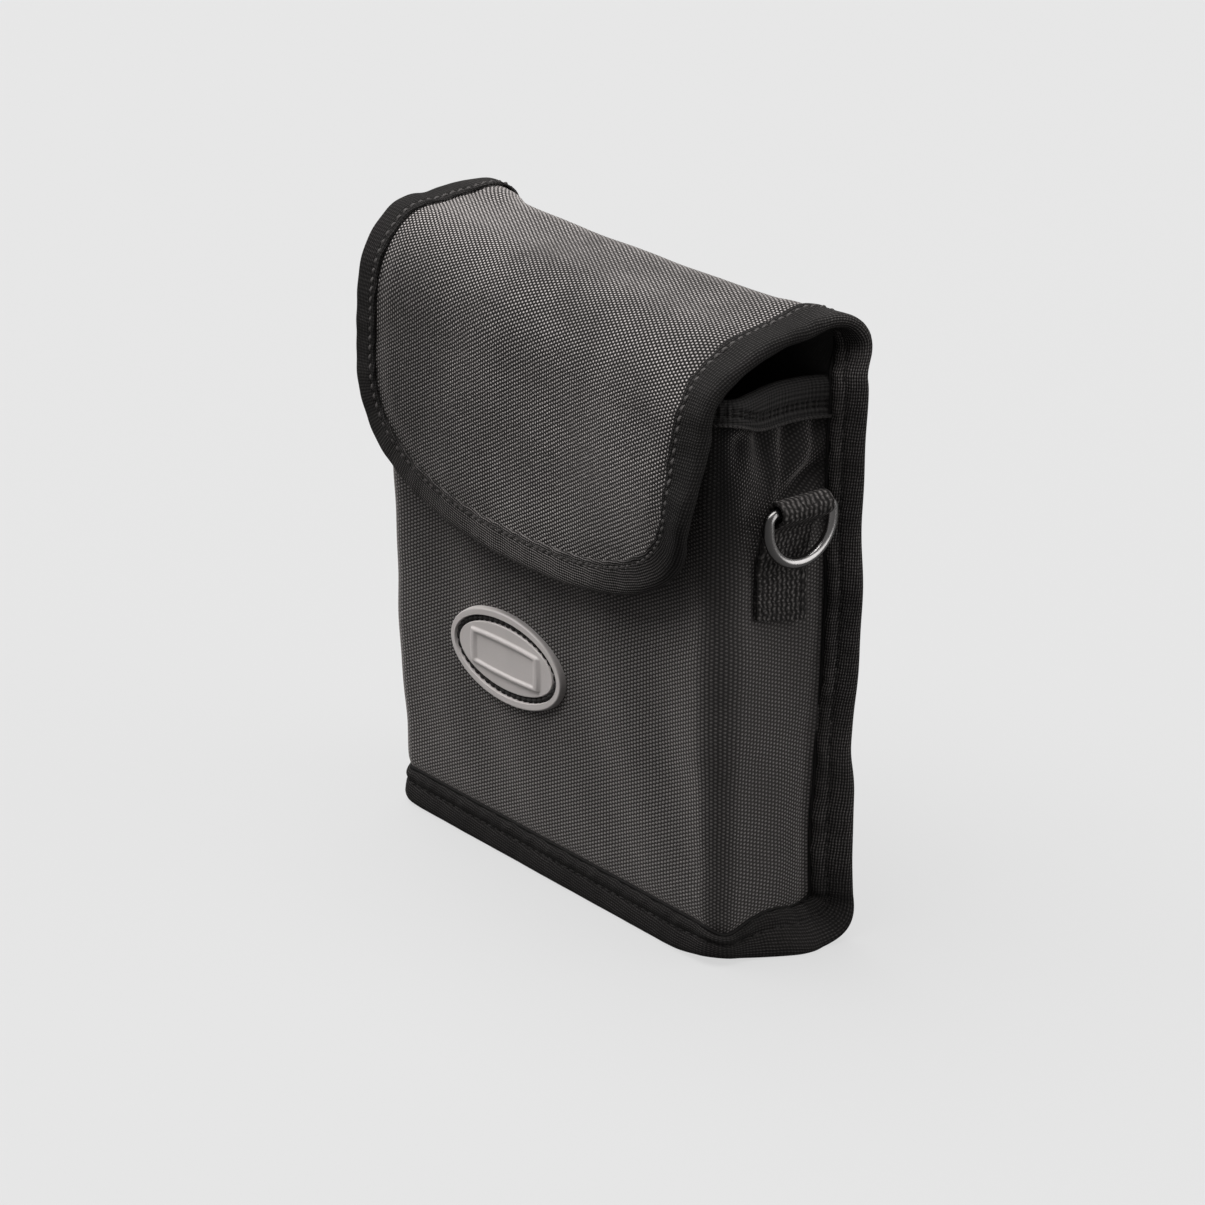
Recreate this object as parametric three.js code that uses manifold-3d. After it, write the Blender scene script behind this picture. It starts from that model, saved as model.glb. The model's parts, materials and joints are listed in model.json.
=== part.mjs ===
// A padded cloth case for compact binoculars.
// Millimetres. X runs across the front, -Y is the front, +Z is up. The case stands on z = 0.

import * as THREE from 'three';
import { mergeVertices } from 'three/addons/utils/BufferGeometryUtils.js';
import Module from 'manifold-3d';

// Overall sizes
const OVERALL_HEIGHT = 180; // floor to the crest of the flap
const BODY_WIDTH = 146; // across the side walls
const BODY_DEPTH = 41; // front face to back face
const CORNER_RADIUS = 7; // upright corners at the front
const FLAP_WIDTH = 154; // across the binding of the flap

// Layers of the walls and the flap
const CLOTH = 0.7; // woven outer cloth
const LINING = 0.5; // lining cloth
const WALL_FOAM = 2.4; // padding of the front, sides and back
const FLAP_FOAM = 1.6; // padding of the flap
const BOARD = 1.5; // stiff sheet in the bottom
const GAP = 0.3; // clearance between neighbouring layers

// Binding tape, folded over the raw edges
const TAPE = 0.7; // thickness of the tape
const TAPE_WIDTH = 10; // width of one leaf
const FLANGE_LEAN = THREE.MathUtils.degToRad(38); // back seams, from straight sideways
const FLANGE_CORNER = 8; // rounding of the lower end of a back seam
const HEM_HEIGHT = 11; // leaf of the hem round the mouth

// Flap
const BACK_BEND = 13; // bend over the back edge
const FRONT_BEND = 23; // bend over the front edge
const TOP_SLOPE = THREE.MathUtils.degToRad(4); // fall of the top toward the front
const FLAP_DROP = 84; // crest to the lowest point of the flap
const FLAP_TIP_RISE = 49; // height of the rounded part of the front outline
const FLAP_TIP_POWER = 2.5; // squareness of the rounded part, 2 is an ellipse
const MOUTH_CLEARANCE = 2.3; // hem of the mouth to the underside of the flap
const HINGE_GAP = 0.6; // split between the back and the flap

// Bottom
const BOTTOM_RISE = 8; // underside of the bottom cloth over the floor
const BOTTOM_FOLD = 3; // fold from the back into the bottom

// Hook and loop closure
const PATCH_WIDTH = 60;
const PATCH_HEIGHT = 22;
const LOOP_PILE = 1.35;
const HOOK_PILE = 1.6;

// Tabs and D-rings
const WEBBING = 1.3; // thickness of the webbing
const TAB_SEAM = 16.5; // height of the sewn foot of a tab
const TAB_NECK = 17.5; // sewn foot to the bar of the ring
const TAB_PINCH = 7; // bar to where the two layers of webbing meet
const RING_DROP = 30.7; // mouth to the bar of the ring
const RING_STANDOFF = 8; // side wall to the bar of the ring
const RING_WIRE = 3; // wire diameter
const RING_WIDTH = 26.8; // across the ring
const RING_HEIGHT = 18; // bar side to bow side
const RING_CORNER = 2.2; // bends at the ends of the bar
const RING_PLAY = 0.35; // bar to the webbing round it
const RING_ROOM = 0.4; // each end of the bar to the edge of the webbing

// Badge
const BADGE_WIDTH = 53.4;
const BADGE_HEIGHT = 27.8;
const BADGE_THICKNESS = 2.3;
const BADGE_X = -20.3;
const BADGE_Z = 61;
const BADGE_RIM = 3.4; // raised rim outside the sewn groove
const BADGE_GROOVE = 1.5; // width of the groove
const BADGE_GROOVE_DEPTH = 0.8;

// Belt loop
const BELT_WIDTH = 38;
const BELT_HEIGHT = 84; // lower end to upper end
const BELT_FOOT = 11; // sewn foot at each end
const BELT_RISE = 5; // slope from a foot to the raised part
const BELT_GAP = 5.2; // room for a belt
const BELT_BELOW_MOUTH = 22; // mouth to the upper end

// Facets
const BEND_FACETS = 9; // segments of a bend
const OUTLINE_FACETS = 40; // segments of the rounded flap edge
const OVAL_FACETS = 48; // segments of the badge outline
const WIRE_SIDES = 12; // sides of the ring wire

// Places that follow from the sizes
const FRONT_Y = -BODY_DEPTH / 2;
const BACK_Y = BODY_DEPTH / 2;
const SIDE_X = BODY_WIDTH / 2;
const WALL = CLOTH + GAP + WALL_FOAM + GAP + LINING;
const TAPE_COVER = GAP + TAPE;
const FLAP_STACK = CLOTH + GAP + FLAP_FOAM + GAP + LINING;
const FLAP_INSIDE_Y = FRONT_Y - GAP - LOOP_PILE - GAP - HOOK_PILE - GAP;
const FLAP_FRONT_Y = FLAP_INSIDE_Y - FLAP_STACK - TAPE_COVER;
const FLAP_BACK_Y = BACK_Y + TAPE_COVER;
const FLAP_TIP_Z = OVERALL_HEIGHT - FLAP_DROP;
const BACK_BEND_CENTRE = new THREE.Vector2(FLAP_BACK_Y - BACK_BEND, OVERALL_HEIGHT - BACK_BEND);
const FRONT_BEND_CENTRE = frontBendCentre();
const MOUTH_Z = mouthHeight();
const WALL_TOP_Z = MOUTH_Z - TAPE_COVER;
const PANEL_TOP_Z = MOUTH_Z + 0.2;
const FLAP_START_Z = PANEL_TOP_Z + HINGE_GAP;
const SEAM_Y = BACK_Y - WALL + 0.2;
const SEAM = new THREE.Vector2(SIDE_X, SEAM_Y);
const FLANGE = new THREE.Vector2(Math.cos(FLANGE_LEAN), Math.sin(FLANGE_LEAN));
const FLANGE_BACK = new THREE.Vector2(-FLANGE.y, FLANGE.x);
const LIP = TAPE_WIDTH - TAPE_COVER;
const LAYER_END_Y = BACK_Y - WALL - GAP;
const TAPE_END_Y = SEAM_Y - TAPE_COVER - GAP;
const BOTTOM_INSIDE_Z = BOTTOM_RISE + CLOTH + GAP;
const PATCH_Z = FLAP_TIP_Z + TAPE_WIDTH + 4 + PATCH_HEIGHT / 2;
const RING_Z = MOUTH_Z - RING_DROP;
const RING_X = SIDE_X + RING_STANDOFF;
const TAB_WIDTH = RING_WIDTH - 2 * (RING_WIRE + RING_ROOM);
const BELT_BACK_Y = BACK_Y + BELT_GAP + WEBBING;
const MIDDLE_Y = (FLAP_FRONT_Y + BELT_BACK_Y) / 2;

const wasm = await Module();
wasm.setup();

/** Centre of the bend over the front edge, so that the sloping top touches both bends. */
function frontBendCentre() {
  const y = FLAP_FRONT_Y + FRONT_BEND;
  const reach = y - BACK_BEND_CENTRE.x;
  const fall = (BACK_BEND - FRONT_BEND + reach * Math.sin(TOP_SLOPE)) / Math.cos(TOP_SLOPE);
  return new THREE.Vector2(y, BACK_BEND_CENTRE.y + fall);
}

/** Height of the mouth that leaves the clearance under the bend of the flap. */
function mouthHeight() {
  const radius = FRONT_BEND - FLAP_STACK - 2 * TAPE_COVER;
  const reach = FRONT_BEND_CENTRE.x - (FRONT_Y - TAPE_COVER);
  return FRONT_BEND_CENTRE.y + Math.sqrt(radius * radius - reach * reach) - MOUTH_CLEARANCE;
}

/** Points of an arc, both ends included. */
function arcPoints(centre, radius, from, to, facets = BEND_FACETS) {
  const points = [];
  for (let i = 0; i <= facets; i += 1) {
    const angle = from + ((to - from) * i) / facets;
    points.push(new THREE.Vector2(centre.x + radius * Math.cos(angle), centre.y + radius * Math.sin(angle)));
  }
  return points;
}

/** Unit normal to the left of the way from one point to another. */
function leftNormal(from, to) {
  const way = to.clone().sub(from).normalize();
  return new THREE.Vector2(-way.y, way.x);
}

/** Outline of a strip of even thickness whose middle line runs through the points. */
function stripShape(points, thickness) {
  const left = [];
  const right = [];
  points.forEach((point, i) => {
    const into = Math.max(i, 1);
    const away = Math.min(i, points.length - 2);
    const first = leftNormal(points[into - 1], points[into]);
    const last = leftNormal(points[away], points[away + 1]);
    const mitre = first.clone().add(last).normalize();
    const reach = thickness / 2 / mitre.dot(last);
    left.push(point.clone().addScaledVector(mitre, reach));
    right.push(point.clone().addScaledVector(mitre, -reach));
  });
  return new THREE.Shape(left.concat(right.reverse()));
}

/** Oval outline about the origin. */
function ovalShape(width, height) {
  const shape = new THREE.Shape();
  shape.absellipse(0, 0, width / 2, height / 2, 0, 2 * Math.PI);
  return shape;
}

/** Rectangle between two corners. */
function rectangle(xLow, yLow, xHigh, yHigh) {
  const shape = new THREE.Shape();
  shape.moveTo(xLow, yLow);
  shape.lineTo(xHigh, yLow);
  shape.lineTo(xHigh, yHigh);
  shape.lineTo(xLow, yHigh);
  shape.closePath();
  return shape;
}

/** Carries a shape through a distance along its own Z. */
function extruded(shape, depth, curveSegments = BEND_FACETS) {
  return new THREE.ExtrudeGeometry(shape, { depth, bevelEnabled: false, curveSegments });
}

/** A plan shape in X and Y, standing between two heights. */
function planPrism(shape, zLow, zHigh) {
  return extruded(shape, zHigh - zLow).translate(0, 0, zLow);
}

/** A side profile in Y and Z, carried across X. */
function sidePrism(shape, xLow, xHigh) {
  const turn = new THREE.Matrix4().makeBasis(
    new THREE.Vector3(0, 1, 0), new THREE.Vector3(0, 0, 1), new THREE.Vector3(1, 0, 0));
  return extruded(shape, xHigh - xLow).applyMatrix4(turn).translate(xLow, 0, 0);
}

/** A front outline in X and Z, carried along Y. */
function frontPrism(shape, yLow, yHigh, curveSegments) {
  const turn = new THREE.Matrix4().makeBasis(
    new THREE.Vector3(1, 0, 0), new THREE.Vector3(0, 0, 1), new THREE.Vector3(0, -1, 0));
  return extruded(shape, yHigh - yLow, curveSegments).applyMatrix4(turn).translate(0, yHigh, 0);
}

/** A box between two corners. */
function box(low, high) {
  return planPrism(rectangle(low[0], low[1], high[0], high[1]), low[2], high[2]);
}

/** The solid that a closed geometry bounds. */
function solid(geometry) {
  const bare = geometry.clone();
  bare.deleteAttribute('normal');
  bare.deleteAttribute('uv');
  const welded = mergeVertices(bare, 1e-4);
  return new wasm.Manifold(new wasm.Mesh({
    numProp: 3,
    vertProperties: new Float32Array(welded.attributes.position.array),
    triVerts: new Uint32Array(welded.index.array),
  }));
}

/** The surface of a solid as a geometry. */
function surface(body) {
  const mesh = body.getMesh();
  const geometry = new THREE.BufferGeometry();
  geometry.setAttribute('position', new THREE.BufferAttribute(mesh.vertProperties, 3));
  geometry.setIndex(new THREE.BufferAttribute(mesh.triVerts, 1));
  return geometry;
}

/** The same geometry on the other side of the middle plane. */
function mirrored(geometry) {
  const flat = geometry.index ? geometry.toNonIndexed() : geometry.clone();
  flat.scale(-1, 1, 1);
  const position = flat.attributes.position;
  for (let i = 0; i < position.count; i += 3) {
    const corner = new THREE.Vector3().fromBufferAttribute(position, i + 1);
    position.setXYZ(i + 1, position.getX(i + 2), position.getY(i + 2), position.getZ(i + 2));
    position.setXYZ(i + 2, corner.x, corner.y, corner.z);
  }
  return flat;
}

/** Line round the front and both sides at a distance inside the outer face, ending at the back. */
function wrapLine(inset, endY) {
  const side = SIDE_X - inset;
  const radius = CORNER_RADIUS - inset;
  const bendX = SIDE_X - CORNER_RADIUS;
  const bendY = FRONT_Y + CORNER_RADIUS;
  return [
    new THREE.Vector2(-side, endY),
    ...arcPoints(new THREE.Vector2(-bendX, bendY), radius, Math.PI, 1.5 * Math.PI),
    ...arcPoints(new THREE.Vector2(bendX, bendY), radius, 1.5 * Math.PI, 2 * Math.PI),
    new THREE.Vector2(side, endY),
  ];
}

/** Band round the front and both sides between two distances inside the outer face. */
function wrapBand(outer, inner, endY) {
  return stripShape(wrapLine((outer + inner) / 2, endY), inner - outer);
}

/** Point on the right back seam: along the flange and toward its back face. */
function flangePoint(along, back) {
  return SEAM.clone().addScaledVector(FLANGE, along).addScaledVector(FLANGE_BACK, back);
}

/** Where a line parallel to the flange meets a plane across the back. */
function flangeMeets(back, y) {
  const start = flangePoint(0, back);
  return start.addScaledVector(FLANGE, (y - start.y) / FLANGE.y);
}

/** The same point on the other side of the middle plane. */
function opposite(point) {
  return new THREE.Vector2(-point.x, point.y);
}

/** Room inside the back seams as seen from the front, with rounded lower corners. */
function seamRoom(inset) {
  const half = flangePoint(TAPE_WIDTH, -TAPE_COVER).x - inset;
  const radius = FLANGE_CORNER - inset;
  const shape = new THREE.Shape();
  shape.moveTo(-half, OVERALL_HEIGHT);
  shape.lineTo(-half, inset + radius);
  shape.absarc(radius - half, inset + radius, radius, Math.PI, 1.5 * Math.PI);
  shape.absarc(half - radius, inset + radius, radius, 1.5 * Math.PI, 2 * Math.PI);
  shape.lineTo(half, OVERALL_HEIGHT);
  shape.closePath();
  return solid(frontPrism(shape, 2 * FRONT_Y, 2 * BACK_Y));
}

/** Outer cloth of the front and sides, with its back edges turned out into the seams. */
function wrapShell() {
  const inset = CLOTH / 2;
  const tip = flangePoint(LIP, inset);
  const turnY = SEAM_Y + (inset * (1 - FLANGE.y)) / FLANGE.x;
  const line = [opposite(tip), ...wrapLine(inset, turnY), tip];
  const sheet = planPrism(stripShape(line, CLOTH), TAPE_COVER, WALL_TOP_Z);
  return surface(solid(sheet).intersect(seamRoom(TAPE_COVER)));
}

/** Padding inside the outer cloth of the front and sides. */
function wrapFoam() {
  const outer = CLOTH + GAP;
  return planPrism(wrapBand(outer, outer + WALL_FOAM, LAYER_END_Y), BOTTOM_INSIDE_Z, WALL_TOP_Z);
}

/** Lining of the front and sides. */
function wrapLining() {
  return planPrism(wrapBand(WALL - LINING, WALL, LAYER_END_Y), BOTTOM_INSIDE_Z, WALL_TOP_Z);
}

/** Outer cloth of the back and the bottom in one strip, with its edges turned into the seams. */
function backBottomShell() {
  const back = CLOTH + GAP + CLOTH / 2;
  const middleY = BACK_Y - CLOTH / 2;
  const bend = flangeMeets(back, middleY);
  const tip = flangePoint(LIP, back);
  const panel = planPrism(stripShape([opposite(tip), opposite(bend), bend, tip], CLOTH),
    BOTTOM_RISE + BOTTOM_FOLD, PANEL_TOP_Z);
  const lowY = FRONT_Y + CLOTH + GAP + CORNER_RADIUS;
  const foldRadius = BOTTOM_FOLD - CLOTH / 2;
  const foldCentre = new THREE.Vector2(BACK_Y - BOTTOM_FOLD, BOTTOM_RISE + BOTTOM_FOLD);
  const foldLine = [
    new THREE.Vector2(lowY, BOTTOM_RISE + CLOTH / 2),
    ...arcPoints(foldCentre, foldRadius, 1.5 * Math.PI, 2 * Math.PI),
    new THREE.Vector2(middleY, BOTTOM_RISE + BOTTOM_FOLD + TAPE_WIDTH),
  ];
  const halfWidth = SIDE_X - CLOTH - GAP;
  const fold = sidePrism(stripShape(foldLine, CLOTH), -halfWidth, halfWidth);
  const edge = wrapLine(CLOTH + GAP, LAYER_END_Y);
  const floor = planPrism(new THREE.Shape(edge), BOTTOM_RISE, BOTTOM_RISE + CLOTH);
  const rim = wrapBand(CLOTH + GAP, 2 * CLOTH + GAP, LAYER_END_Y);
  const lip = planPrism(rim, TAPE_COVER, BOTTOM_RISE + CLOTH);
  return surface(solid(panel).add(solid(fold)).add(solid(floor)).add(solid(lip)));
}

/** Padding of the back. */
function backFoam() {
  const halfWidth = SIDE_X - CLOTH - GAP;
  const outerY = BACK_Y - CLOTH - GAP;
  const lowZ = BOTTOM_INSIDE_Z + BOTTOM_FOLD;
  return box([-halfWidth, outerY - WALL_FOAM, lowZ], [halfWidth, outerY, PANEL_TOP_Z]);
}

/** Lining of the back. */
function backLining() {
  const halfWidth = SIDE_X - CLOTH - GAP;
  const innerY = BACK_Y - WALL;
  const lowZ = BOTTOM_INSIDE_Z + BOTTOM_FOLD;
  return box([-halfWidth, innerY, lowZ], [halfWidth, innerY + LINING, PANEL_TOP_Z]);
}

/** A sheet that fills the floor inside the lining. */
function floorSheet(zLow, thickness) {
  const edge = wrapLine(WALL + GAP, LAYER_END_Y);
  return planPrism(new THREE.Shape(edge), zLow, zLow + thickness);
}

/** Folded tape over the top edge of the front and sides. */
function mouthHem() {
  const lowZ = MOUTH_Z - HEM_HEIGHT;
  const outside = planPrism(wrapBand(-TAPE_COVER, WALL + TAPE_COVER, TAPE_END_Y), lowZ, MOUTH_Z);
  const slot = planPrism(wrapBand(-GAP, WALL + GAP, BACK_Y), lowZ - 1, MOUTH_Z - TAPE);
  return solid(outside).subtract(solid(slot));
}

/** The part of the hem between two places across the case. */
function hemPart(xLow, xHigh) {
  const room = box([xLow, FRONT_Y - 10, 0], [xHigh, BACK_Y, OVERALL_HEIGHT]);
  return surface(mouthHem().intersect(solid(room)));
}

/** Folded tape round the lower seam at the front and sides. */
function bottomBinding() {
  const innerLeaf = 2 * CLOTH + GAP + TAPE_COVER;
  const outside = planPrism(wrapBand(-TAPE_COVER, innerLeaf, TAPE_END_Y), 0, TAPE_WIDTH);
  const slot = planPrism(wrapBand(-GAP, innerLeaf - TAPE, BACK_Y), TAPE, TAPE_WIDTH + 1);
  const headroom = planPrism(wrapBand(-GAP, innerLeaf + 1, BACK_Y), BOTTOM_RISE - GAP, TAPE_WIDTH + 1);
  return surface(solid(outside).subtract(solid(slot)).subtract(solid(headroom)));
}

/** Folded tape over the right back seam, with a rounded lower end. */
function backBinding() {
  const front = -GAP - TAPE / 2;
  const back = 2 * CLOTH + 2 * GAP + TAPE / 2;
  const tip = LIP + GAP + TAPE / 2;
  const panelY = BACK_Y + GAP + TAPE / 2;
  const bend = flangeMeets(back, panelY);
  const leafEnd = new THREE.Vector2(bend.x - TAPE_WIDTH / 2, panelY);
  const line = [flangePoint(GAP, front), flangePoint(tip, front), flangePoint(tip, back), bend, leafEnd];
  const tape = planPrism(stripShape(line, TAPE), 0, PANEL_TOP_Z);
  return surface(solid(tape).intersect(seamRoom(0)));
}

/** Side line of the flap at a depth under the outer face of its binding, back edge first. */
function flapLine(depth) {
  const slope = Math.PI / 2 + TOP_SLOPE;
  return [
    new THREE.Vector2(FLAP_BACK_Y - depth, FLAP_START_Z),
    ...arcPoints(BACK_BEND_CENTRE, BACK_BEND - depth, 0, slope),
    ...arcPoints(FRONT_BEND_CENTRE, FRONT_BEND - depth, slope, Math.PI),
    new THREE.Vector2(FLAP_FRONT_Y + depth, FLAP_TIP_Z - 1),
  ];
}

/** A layer of the flap between two depths, as wide as the binding, before its edge is cut. */
function flapLayer(outer, inner) {
  const profile = new THREE.Shape(flapLine(outer).concat(flapLine(inner).reverse()));
  return solid(sidePrism(profile, -FLAP_WIDTH / 2, FLAP_WIDTH / 2));
}

/** Room inside the front outline of the flap, at a distance inside its edge. */
function flapRoom(inset) {
  const halfWidth = FLAP_WIDTH / 2 - inset;
  const rise = FLAP_TIP_RISE - inset;
  const centreZ = FLAP_TIP_Z + FLAP_TIP_RISE;
  const power = 2 / FLAP_TIP_POWER;
  const points = [
    new THREE.Vector2(halfWidth, 2 * OVERALL_HEIGHT),
    new THREE.Vector2(-halfWidth, 2 * OVERALL_HEIGHT),
  ];
  for (let i = 0; i <= OUTLINE_FACETS; i += 1) {
    const angle = Math.PI + (Math.PI * i) / OUTLINE_FACETS;
    const across = Math.sign(Math.cos(angle)) * Math.abs(Math.cos(angle)) ** power;
    const down = Math.abs(Math.sin(angle)) ** power;
    points.push(new THREE.Vector2(halfWidth * across, centreZ - rise * down));
  }
  return solid(frontPrism(new THREE.Shape(points), FLAP_FRONT_Y - 5, FLAP_BACK_Y + 5));
}

/** A layer of the flap, cut to fit inside the binding. */
function flapSheet(outer, inner) {
  return surface(flapLayer(TAPE_COVER + outer, TAPE_COVER + inner).intersect(flapRoom(TAPE_COVER)));
}

/** Folded tape round the edge of the flap. */
function flapBinding() {
  const thickness = FLAP_STACK + 2 * TAPE_COVER;
  const rim = flapLayer(0, thickness).intersect(flapRoom(0)).subtract(flapRoom(TAPE_WIDTH));
  const slot = flapLayer(TAPE, thickness - TAPE).intersect(flapRoom(TAPE));
  return surface(rim.subtract(slot));
}

/** A patch of the closure, on the front of the case. */
function patch(yLow, yHigh) {
  const halfWidth = PATCH_WIDTH / 2;
  const halfHeight = PATCH_HEIGHT / 2;
  return box([-halfWidth, yLow, PATCH_Z - halfHeight], [halfWidth, yHigh, PATCH_Z + halfHeight]);
}

/** Angle at which a line from a point touches a circle, on the given side. */
function touchAngle(point, centre, radius, side) {
  const way = point.clone().sub(centre);
  return Math.atan2(way.y, way.x) + side * Math.acos(radius / way.length());
}

/** Draws from one point over the bar of the ring to another point, touching a circle round the bar. */
function drawRoundBar(path, frontPoint, backPoint, radius) {
  const bar = new THREE.Vector2(RING_X, RING_Z);
  const from = touchAngle(frontPoint, bar, radius, 1);
  const to = touchAngle(backPoint, bar, radius, -1) + 2 * Math.PI;
  path.lineTo(frontPoint.x, frontPoint.y);
  path.absarc(bar.x, bar.y, radius, from, to, false);
  path.lineTo(backPoint.x, backPoint.y);
}

/** Right tab: webbing doubled round the bar of the ring and sewn to the side wall. */
function ringTab() {
  const inner = RING_WIRE / 2 + RING_PLAY;
  const backX = SIDE_X + GAP;
  const frontX = backX + 2 * WEBBING;
  const footZ = RING_Z - TAB_NECK;
  const bar = new THREE.Vector2(RING_X, RING_Z);
  const foot = new THREE.Vector2(backX + WEBBING, footZ);
  const pinch = bar.clone().addScaledVector(bar.clone().sub(foot).normalize(), -TAB_PINCH);
  const across = leftNormal(foot, bar).multiplyScalar(-WEBBING);
  const shape = new THREE.Shape();
  shape.moveTo(frontX, footZ - TAB_SEAM);
  shape.lineTo(frontX, footZ);
  drawRoundBar(shape, pinch.clone().add(across), pinch.clone().sub(across), inner + WEBBING);
  shape.lineTo(backX, footZ);
  shape.lineTo(backX, footZ - TAB_SEAM);
  shape.closePath();
  const hole = new THREE.Path();
  hole.moveTo(pinch.x, pinch.y);
  drawRoundBar(hole, pinch, pinch, inner);
  shape.holes.push(hole);
  return frontPrism(shape, -TAB_WIDTH / 2, TAB_WIDTH / 2);
}

/** Closed wire along a flat loop of points in Y and Z. */
function wireLoop(points, x, radius) {
  const position = [];
  const index = [];
  points.forEach((point, i) => {
    const before = points[(i + points.length - 1) % points.length];
    const after = points[(i + 1) % points.length];
    const normal = leftNormal(before, after);
    for (let k = 0; k < WIRE_SIDES; k += 1) {
      const angle = (2 * Math.PI * k) / WIRE_SIDES;
      const reach = radius * Math.cos(angle);
      position.push(x + radius * Math.sin(angle), point.x + normal.x * reach, point.y + normal.y * reach);
      const here = i * WIRE_SIDES + k;
      const beside = i * WIRE_SIDES + ((k + 1) % WIRE_SIDES);
      const ahead = ((i + 1) % points.length) * WIRE_SIDES;
      const next = ahead + k;
      const nextBeside = ahead + ((k + 1) % WIRE_SIDES);
      index.push(here, nextBeside, next, here, beside, nextBeside);
    }
  });
  const geometry = new THREE.BufferGeometry();
  geometry.setAttribute('position', new THREE.Float32BufferAttribute(position, 3));
  geometry.setIndex(index);
  return geometry;
}

/** Right D-ring: a straight bar in the webbing and a round bow hanging under it. */
function dRing() {
  const half = (RING_WIDTH - RING_WIRE) / 2;
  const bowZ = RING_Z - (RING_HEIGHT - RING_WIRE) + half;
  const cornerZ = RING_Z - RING_CORNER;
  const points = [
    ...arcPoints(new THREE.Vector2(0, bowZ), half, Math.PI, 2 * Math.PI, 3 * BEND_FACETS),
    ...arcPoints(new THREE.Vector2(half - RING_CORNER, cornerZ), RING_CORNER, 0, Math.PI / 2, 4),
    ...arcPoints(new THREE.Vector2(RING_CORNER - half, cornerZ), RING_CORNER, Math.PI / 2, Math.PI, 4),
  ];
  return wireLoop(points, RING_X, RING_WIRE / 2);
}

/** Oval badge with a raised rim, a sewn groove and a plain raised field. */
function badge() {
  const faceY = FRONT_Y - GAP - BADGE_THICKNESS;
  const plate = frontPrism(ovalShape(BADGE_WIDTH, BADGE_HEIGHT), faceY, FRONT_Y - GAP, OVAL_FACETS);
  const rim = 2 * BADGE_RIM;
  const ring = ovalShape(BADGE_WIDTH - rim, BADGE_HEIGHT - rim);
  const field = rim + 2 * BADGE_GROOVE;
  ring.holes.push(ovalShape(BADGE_WIDTH - field, BADGE_HEIGHT - field));
  const groove = frontPrism(ring, faceY - 1, faceY + BADGE_GROOVE_DEPTH, OVAL_FACETS);
  return surface(solid(plate).subtract(solid(groove))).translate(BADGE_X, 0, BADGE_Z);
}

/** Webbing on the back that a belt passes through. */
function beltLoop() {
  const topZ = MOUTH_Z - BELT_BELOW_MOUTH;
  const lowZ = topZ - BELT_HEIGHT;
  const footY = BACK_Y + GAP + WEBBING / 2;
  const raisedY = BELT_BACK_Y - WEBBING / 2;
  const line = [
    new THREE.Vector2(footY, lowZ),
    new THREE.Vector2(footY, lowZ + BELT_FOOT),
    new THREE.Vector2(raisedY, lowZ + BELT_FOOT + BELT_RISE),
    new THREE.Vector2(raisedY, topZ - BELT_FOOT - BELT_RISE),
    new THREE.Vector2(footY, topZ - BELT_FOOT),
    new THREE.Vector2(footY, topZ),
  ];
  return sidePrism(stripShape(line, WEBBING), -BELT_WIDTH / 2, BELT_WIDTH / 2);
}

/** A finish with its colour, roughness and metalness. */
function finish(color, roughness, metalness = 0) {
  return new THREE.MeshStandardMaterial({ color, roughness, metalness });
}

const wovenCloth = { color: 0x4a4847, roughness: 0.85 };
const liningCloth = { color: 0x2e2d2d, roughness: 0.8 };
const padding = { color: 0x5c5b5a, roughness: 0.95 };
const bindingTape = { color: 0x262524, roughness: 0.8 };
const elastic = { color: 0x1f1f1e, roughness: 0.85 };
const strapWebbing = { color: 0x2c2b2a, roughness: 0.75 };
const pile = { color: 0x181818, roughness: 1 };

const binocularCase = new THREE.Group();
binocularCase.name = 'binocular_case';

/** Adds one named piece to the case. */
function add(name, geometry, look) {
  const mesh = new THREE.Mesh(geometry, finish(look.color, look.roughness, look.metalness));
  mesh.name = name;
  binocularCase.add(mesh);
}

const endOfFront = SIDE_X - CORNER_RADIUS - 1;

add('wrap_shell', wrapShell(), wovenCloth);
add('wrap_foam', wrapFoam(), padding);
add('wrap_lining', wrapLining(), liningCloth);
add('back_bottom_shell', backBottomShell(), wovenCloth);
add('back_foam', backFoam(), padding);
add('back_lining', backLining(), liningCloth);
add('bottom_board', floorSheet(BOTTOM_INSIDE_Z, BOARD), { color: 0x1a1a1a, roughness: 0.5 });
add('bottom_lining', floorSheet(BOTTOM_INSIDE_Z + BOARD + GAP, LINING), liningCloth);
add('front_mouth_binding', hemPart(-endOfFront, endOfFront), bindingTape);
add('right_gusset_elastic', hemPart(endOfFront + GAP, BODY_WIDTH), elastic);
add('left_gusset_elastic', hemPart(-BODY_WIDTH, -endOfFront - GAP), elastic);
add('bottom_binding', bottomBinding(), bindingTape);
add('right_back_binding', backBinding(), bindingTape);
add('left_back_binding', mirrored(backBinding()), bindingTape);
add('right_ring_tab', ringTab(), strapWebbing);
add('left_ring_tab', mirrored(ringTab()), strapWebbing);
add('loop_patch', patch(FRONT_Y - GAP - LOOP_PILE, FRONT_Y - GAP), pile);
add('badge', badge(), { color: 0x9b9794, roughness: 0.6 });
add('belt_loop', beltLoop(), strapWebbing);
add('flap_shell', flapSheet(0, CLOTH), wovenCloth);
add('flap_foam', flapSheet(CLOTH + GAP, CLOTH + GAP + FLAP_FOAM), padding);
add('flap_lining', flapSheet(FLAP_STACK - LINING, FLAP_STACK), liningCloth);
add('flap_binding', flapBinding(), bindingTape);
add('hook_patch', patch(FLAP_INSIDE_Y + GAP, FLAP_INSIDE_Y + GAP + HOOK_PILE), pile);
add('right_d_ring', dRing(), { color: 0xb9b8b4, roughness: 0.25, metalness: 1 });
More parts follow.
